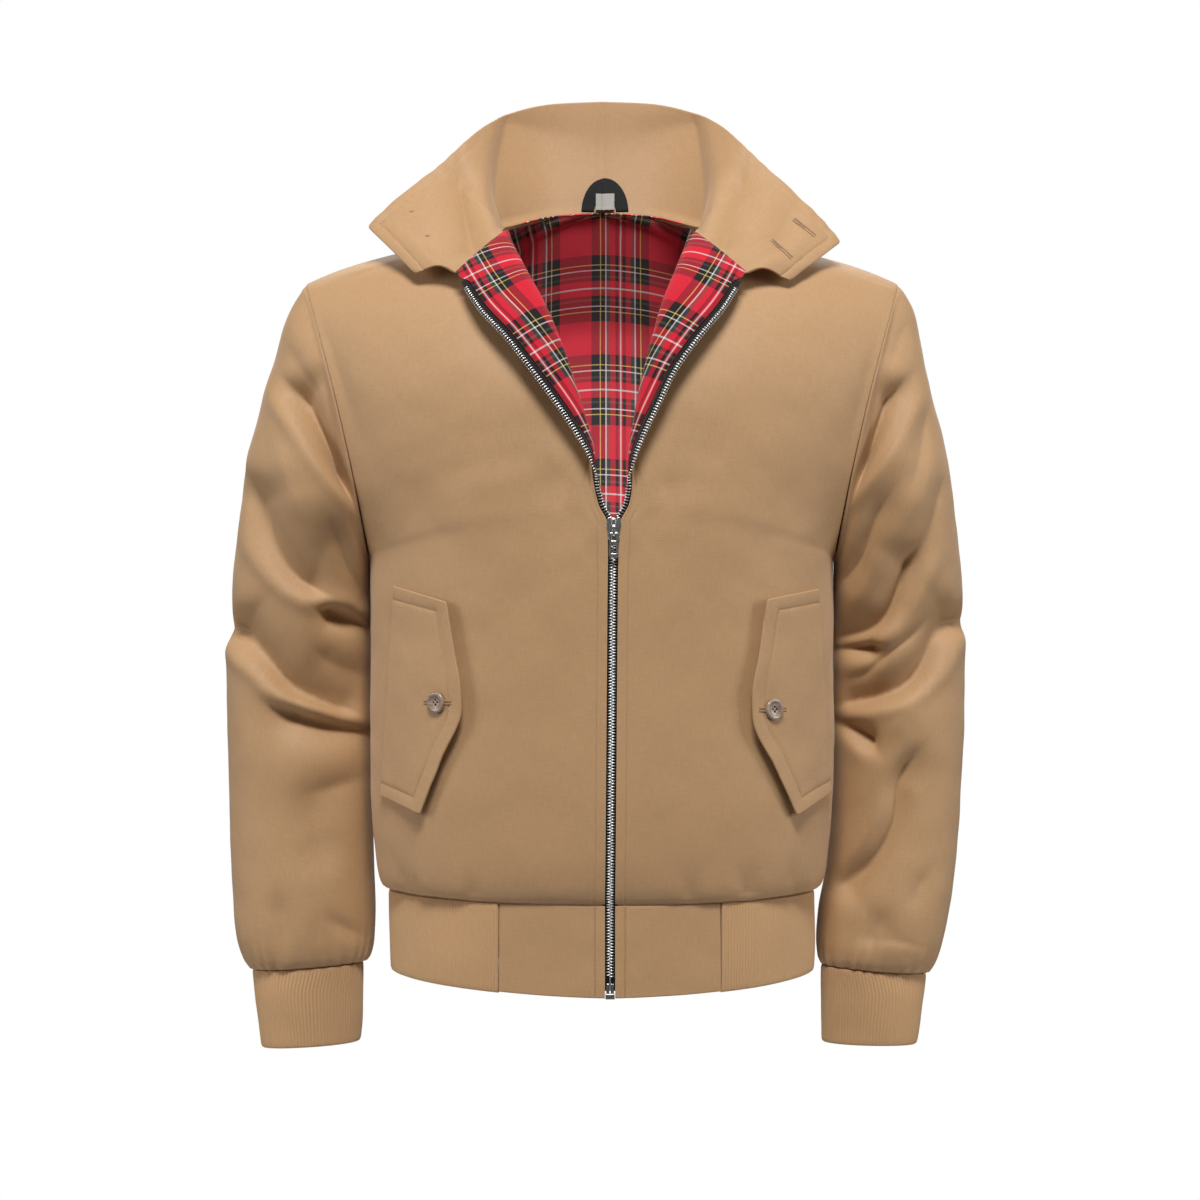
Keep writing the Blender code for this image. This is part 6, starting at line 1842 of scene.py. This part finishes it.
class JACKET_OT_zip(bpy.types.Operator):
    """Make the zip: tapes, teeth, slider, pull, box and pins"""

    bl_idname = "jacket.zip"
    bl_label = "Zip"

    def execute(self, context):
        pitch = context.scene.jacket_sizes.tooth_pitch
        for side, hand in SIDES.items():
            grid, places = tape_grid(side)
            uv = np.stack(np.broadcast_arrays(places[None], runs(grid[None, :, 0])[0][:, None]), -1)
            item = walled(woven("tape_weave_" + hand, [(grid, uv, side)], material("tape")), TAPE_WALL)
            dress(item, "black_tape", "zip_tape_" + hand)
            out = normals(grid, side)[:, 0]
            line = grid[:, 0] - out * TAPE_WALL / 2
            places, ways, outs = stations(line, out, pitch, 0.012 + (pitch / 2 if side < 0 else 0))
            kept = len(places) - 3
            item = strung("zip_teeth_" + hand, [(places[:kept], ways[:kept] * side, outs[:kept])], tooth(),
                          material("metal"))
            dress(item, "nickel_zip")
        mesh = bmesh.new()
        prism(mesh, mirrored(SLIDER_PLATE), -1.2, 0.0, 1, 0.4)
        prism(mesh, SLIDER_BRIDGE, -1.0, 1.0, 0, 0.25)
        prism(mesh, box_outline((-1.7, 1.7), (2.4, 8.2)), -2.3, -0.9, 1, 0.6)
        for hand in (-1, 1):
            prism(mesh, box_outline(sorted((3.9 * hand, 4.8 * hand)), (-9.0, 0.5)), -0.4, 1.8, 1, 0.3)
        prism(mesh, box_outline((-0.9, 0.9), (7.4, 9.2)), -0.4, 5.0, 1, 0.0)
        prism(mesh, box_outline((-5.0, 5.0), (-9.0, 9.0)), 4.6, 5.6, 1, 0.3)
        bmesh.ops.translate(mesh, verts=mesh.verts, vec=SLIDER)
        dress(finished("slider", mesh, material("metal")), "nickel_zip", "zip_slider")
        mesh, windows = bmesh.new(), bmesh.new()
        prism(mesh, mirrored(PULL_HALF), -0.6, 0.6, 1, 0.0)
        prism(windows, box_outline((-1.8, 1.8), (-6.1, -0.6)), -2, 2, 1, 0.0)
        prism(windows, box_outline((-1.8, 1.8), (-16.5, -10.0)), -2, 2, 1, 0.0)
        for part in (mesh, windows):
            bmesh.ops.translate(part, verts=part.verts, vec=PULL_AXIS)
        item = cut_out(finished("pull_tab", mesh, material("metal"), False),
                       finished("windows", windows, material("metal"), False), PULL_BEVEL)
        dress(item, "nickel_zip", "zip_pull", body=PULL)
        row = {name: values[0] for name, values in BAND.at(np.ones(1)).items()}
        foot = Vector((CHAIN.at(np.zeros(1))["middle"][0], row["front_y"] + RIB_WALL + LAYER_GAP, row["front_z"]))
        mesh = bmesh.new()
        prism(mesh, box_outline((-3.8, 3.8), (-1.0, 3.6)), -1.6, 2.6, 1, 0.7)
        for hand in (-1, 1):
            prism(mesh, box_outline(sorted((0.6 * hand, 3.2 * hand)), (3.0, 12.0)), -0.9, 0.9, 1, 0.5)
        bmesh.ops.translate(mesh, verts=mesh.verts, vec=foot)
        dress(finished("bottom_stop", mesh, material("metal")), "nickel_zip", "zip_box")
        return {"FINISHED"}


class JACKET_OT_pockets(bpy.types.Operator):
    """Make the two pocket flaps with their buttons, and the collar's two buttons"""

    bl_idname = "jacket.pockets"
    bl_label = "Pocket flaps"

    def execute(self, context):
        for side, hand in SIDES.items():
            body, places, turned = SHAPES["front", side]
            panel = Surface(body[:, turned:])
            grid, run, away = flap_surface(side, panel)
            sign = facing_front(grid)
            grid = cornered(grid, run[:, -1:] - run, np.minimum(*edge_distances(grid)), 3 * MM)
            thick = rounded(np.minimum(away, run), FLAP_WALL) * pressed(away, FLAP_STITCH)
            soft = lumps(grid, *FLAP_LUMPS) * fade(run, 0, 15 * MM)
            grid = grid + normals(grid, sign) * soft[..., None]
            item = doubled("flap_cloth_" + hand, grid, np.stack([run, edge_distances(grid)[0]], -1), thick, sign,
                           material("poplin"))
            SHAPES["flap", side] = grid, run, away, sign
            dress(item, "tan_poplin", "pocket_flap_" + hand)
            node = "flap_button_" + hand
            dress(sewn_button(node, Surface(grid), FLAP_WALL, -1), "horn_button", node)
        for number in (1, 2):
            node = f"collar_button_{number}"
            dress(sewn_button(node, Surface(SHAPES["collar"]), COLLAR_WALL, 1), "horn_button", node)
        return {"FINISHED"}


class JACKET_OT_neck(bpy.types.Operator):
    """Make the hanger loop and the plain label under it"""

    bl_idname = "jacket.neck"
    bl_label = "Loop and label"

    def execute(self, context):
        inside = Surface(SHAPES["collar"])
        angles = np.linspace(0, np.pi, 60)
        across = np.concatenate([EDGE[:5], np.linspace(2, 9, 8) * MM, LOOP_WIDTH - EDGE[:5][::-1]]) / LOOP_WIDTH
        grid = np.empty((len(angles), len(across), 3))
        for i, angle in enumerate(angles):
            stand = (1.0 + 2.1 * math.sin(angle)) * MM
            for k, share in enumerate(across):
                x = LOOP_MIDDLE + (0.0097 + 0.0111 * share) * math.cos(angle)
                z = (0.0165 + 0.0142 * share) * math.sin(angle)
                low = Vector((0, 0, min(0.0, z - 0.002)))
                grid[i, k] = inside.at(x, max(z, 0.002), COLLAR_WALL / 2 + stand)[0] + low
        item = ribbon("loop_ribbon", grid, LOOP_THICK, material("loop"))
        dress(item, "black_tape", "hanger_loop")
        xs = np.concatenate([EDGE[:5] - LABEL_HALF, np.linspace(-6.5, 6.5, 9) * MM, LABEL_HALF - EDGE[:5][::-1]])
        zs = np.concatenate([EDGE[:5], np.linspace(2, 13.5, 8) * MM, LABEL_HEIGHT - EDGE[:5][::-1]])
        # it is read a little high, where the collar's seam doesn't bend it, and lowered to its place
        stand = COLLAR_WALL / 2 + LABEL_STAND
        grid = np.array([[inside.at(LOOP_MIDDLE + x, LABEL_FOOT + z, stand)[0] for x in xs] for z in zs])
        item = ribbon("label_weave", grid - (0, 0, LABEL_DROP), LABEL_THICK, material("label"))
        dress(item, "grey_label", "neck_label")
        return {"FINISHED"}


def level_line(grid, values, level, keep):
    """Where a value that grows along each row passes a level: a line of points, and the rows that have it."""
    line, rows = [], []
    for i in np.flatnonzero(keep):
        order = np.argsort(values[i])
        if values[i].min() < level < values[i].max():
            line.append([np.interp(level, values[i][order], grid[i][order, k]) for k in range(3)])
            rows.append(i)
    return np.array(line), rows


def seam_through(grid, out, path, rise):
    """A seam through places of a grid, this far above it: its line, and the ways out of the cloth."""
    rows, columns = map(list, zip(*path))
    return grid[rows, columns] + out[rows, columns] * rise, out[rows, columns]


class JACKET_OT_stitching(bpy.types.Operator):
    """Sew the topstitching beside the zip, on the flaps, the tabs and the collar"""

    bl_idname = "jacket.stitching"
    bl_label = "Topstitching"

    def execute(self, context):
        sizes = context.scene.jacket_sizes
        # an edge's close-set places come first, and the seam runs on the middle one of the seven about it
        inset = len(EDGE) + 3
        lines, sewn, holes, crossed = [], [], [], []
        for side in SIDES:
            grid, places, turned = SHAPES["front", side]
            line, rows = level_line(grid, places, ZIP_STITCH, FRONT_LEVELS < ZIP_STITCH_TOP)
            lines.append((line, normals(grid, side)[rows, turned + 3]))
            grid, run = SHAPES["tab", side]
            column = int(np.argmin(abs(run[0] - TAB_STITCH)))
            path = [(row, column) for row in range(2, len(grid) - 2)]
            lines.append(seam_through(grid, normals(grid, -side), path, TAB_RISE))
            grid, _, _, sign = SHAPES["flap", side]
            out = normals(grid, sign)
            low, high = inset, len(grid) - 1 - inset
            last = grid.shape[1] - 1 - inset
            path = [(low, c) for c in range(2, last)] + [(r, last) for r in range(low, high + 1)]
            path += [(high, c) for c in range(last - 1, 1, -1)]
            lines.append(seam_through(grid, out, path, FLAP_RISE))
            # painted shade: a dark line of close-set dashes along each flap's sewn edge, where the flap meets the
            # front
            path = [(row, 0) for row in range(3, len(grid) - 3)]
            sewn.append(stations(*seam_through(grid, out, path, FLAP_SHADE_RISE), 1.2 * MM))
            holes.append(buttonhole(Surface(grid), FLAP_BUTTONS[side], 0.0, FLAP_WALL))
        grid = SHAPES["collar"]
        out = -normals(grid)
        last = grid.shape[1] - 1 - inset
        wing = int(np.argmax(SHAPES["collar_end"][:, last] > WING_LENGTH))
        path = [(inset, c) for c in range(inset, last)] + [(r, last) for r in range(inset, wing)]
        for turn in (1, -1):
            lines.append(seam_through(grid[::turn], out[::turn], path, COLLAR_RISE))
        wings = Surface(grid)
        holes += [buttonhole(wings, (x, z), turn, COLLAR_WALL) for x, z, turn in WING_BUTTONHOLES]
        for x, z in COLLAR_BUTTONS:
            point, way = wings.at(x, z, COLLAR_WALL / 2 + 0.1 * MM)
            crossed += [(point, Vector((1, 0, turn)), way) for turn in (-1, 1)]
        bars, slit_shades = zip(*holes)
        seams = [stations(*line, sizes.stitch_pitch) for line in lines]
        stitch = (sizes.stitch_pitch * 0.82, sizes.thread, STITCH_HEIGHT)
        # the dark thread draws painted shade: the line along each flap's sewn edge and a bar in each buttonhole's
        # slit
        for name, sets, size, finish in (
                ("flap_seams", sewn, FLAP_SHADE_DASH, "painted_shade_thread"),
                ("topstitching", seams, stitch, "thread"),
                ("buttonhole_lips", bars, LIP_STITCH, "thread"),
                ("buttonhole_slits", slit_shades, SLIT_SHADE, "painted_shade_thread"),
                ("button_threads", [columns_of(crossed)], BUTTON_THREAD, "thread")):
            dress(strung(name, sets, capsule(*size), material(finish)), "tan_poplin")
        return {"FINISHED"}


# Stage
FLOOR_Z = -1.7
FLOOR_RADIUS = 1.5
AIM = (0, 0, -0.45)
# Each light's place, what it points at, its size in metres and its power in watts
LIGHTS = {
    "left": ((-3.0, -0.8, 0.4), AIM, (0.9, 1.6), 38),
    "right": ((3.0, -0.8, 0.4), AIM, (0.9, 1.6), 38),
    "front": ((0.0, -2.4, 2.9), (0, 0, -0.5), (1.4, 0.9), 184),
    "back": ((0.0, 2.2, 1.9), (0, 0, -0.2), (2.2, 1.0), 50),
}


def area_light(name, place, target, size, power):
    lamp = bpy.data.lights.new(name, "AREA")
    lamp.shape = "RECTANGLE"
    lamp.size, lamp.size_y = size
    lamp.energy = power
    made = bpy.data.objects.new(name, lamp)
    made.location = place
    made.rotation_mode = "QUATERNION"
    made.rotation_quaternion = (Vector(target) - Vector(place)).to_track_quat("-Z", "Y")
    bpy.context.scene.collection.objects.link(made)


def studio_world():
    """A white surround that gives the cloth only a dim, even light."""
    made = bpy.data.worlds.new("studio")
    made.use_nodes = True
    tree = made.node_tree
    seen = add(tree, "ShaderNodeLightPath").outputs["Is Camera Ray"]
    strength = add(tree, "ShaderNodeMapRange", {"Value": seen, "To Min": 0.07, "To Max": 1.0}).outputs[0]
    tree.links.new(strength, tree.nodes["Background"].inputs["Strength"])
    tree.nodes["Background"].inputs["Color"].default_value = (1, 1, 1, 1)
    return made


class JACKET_OT_stage(bpy.types.Operator):
    """Set the pale floor, the soft lights and the camera"""

    bl_idname = "jacket.stage"
    bl_label = "Stage"

    def execute(self, context):
        scene = context.scene
        mesh = bmesh.new()
        bmesh.ops.create_circle(mesh, cap_ends=True, radius=FLOOR_RADIUS, segments=96)
        bmesh.ops.translate(mesh, verts=mesh.verts, vec=(0, 0, FLOOR_Z))
        data = bpy.data.meshes.new("floor")
        mesh.to_mesh(data)
        mesh.free()
        paint, _, shader = new_material("studio_floor", Roughness=0.9)
        shader.inputs["Base Color"].default_value = linear("#DCDCDC")
        floor = placed("floor", data, paint)
        scene.world = studio_world()
        for name, (place, target, size, power) in LIGHTS.items():
            area_light(name, place, target, size, power)
        camera = bpy.data.cameras.new("camera")
        camera.sensor_width = SENSOR
        camera.lens = SENSOR * CHART_FOCAL / CHART_SQUARES
        holder = bpy.data.objects.new("camera", camera)
        holder.location = (VIEW_ACROSS, -VIEW_DISTANCE, VIEW_HEIGHT)
        holder.rotation_euler = (math.pi / 2, 0, 0)
        scene.collection.objects.link(holder)
        scene.camera = holder
        scene.view_settings.view_transform = "Standard"
        return {"FINISHED"}


class JACKET_PT_panel(bpy.types.Panel):
    """The jacket's operators, in the order in which they run"""

    bl_idname = "JACKET_PT_panel"
    bl_label = "Harrington jacket"
    bl_space_type = "VIEW_3D"
    bl_region_type = "UI"
    bl_category = "Jacket"

    def draw(self, context):
        for operator in OPERATORS:
            self.layout.operator(operator.bl_idname)


OPERATORS = (JACKET_OT_shell, JACKET_OT_lining, JACKET_OT_collar, JACKET_OT_ribs, JACKET_OT_zip,
             JACKET_OT_pockets, JACKET_OT_neck, JACKET_OT_stitching, JACKET_OT_stage)
CLASSES = (JacketSizes, JacketColours, *OPERATORS, JACKET_PT_panel)


def register():
    for item in CLASSES:
        bpy.utils.register_class(item)
    bpy.types.Scene.jacket_sizes = bpy.props.PointerProperty(type=JacketSizes)
    bpy.types.Scene.jacket_colours = bpy.props.PointerProperty(type=JacketColours)


def unregister():
    del bpy.types.Scene.jacket_colours
    del bpy.types.Scene.jacket_sizes
    for item in reversed(CLASSES):
        bpy.utils.unregister_class(item)


def main():
    """Makes every piece in order."""
    register()
    for operator in OPERATORS:
        group, name = operator.bl_idname.split(".")
        if "FINISHED" not in getattr(getattr(bpy.ops, group), name)():
            raise RuntimeError(operator.bl_label + " wasn't made")


if __name__ == "__main__":
    main()
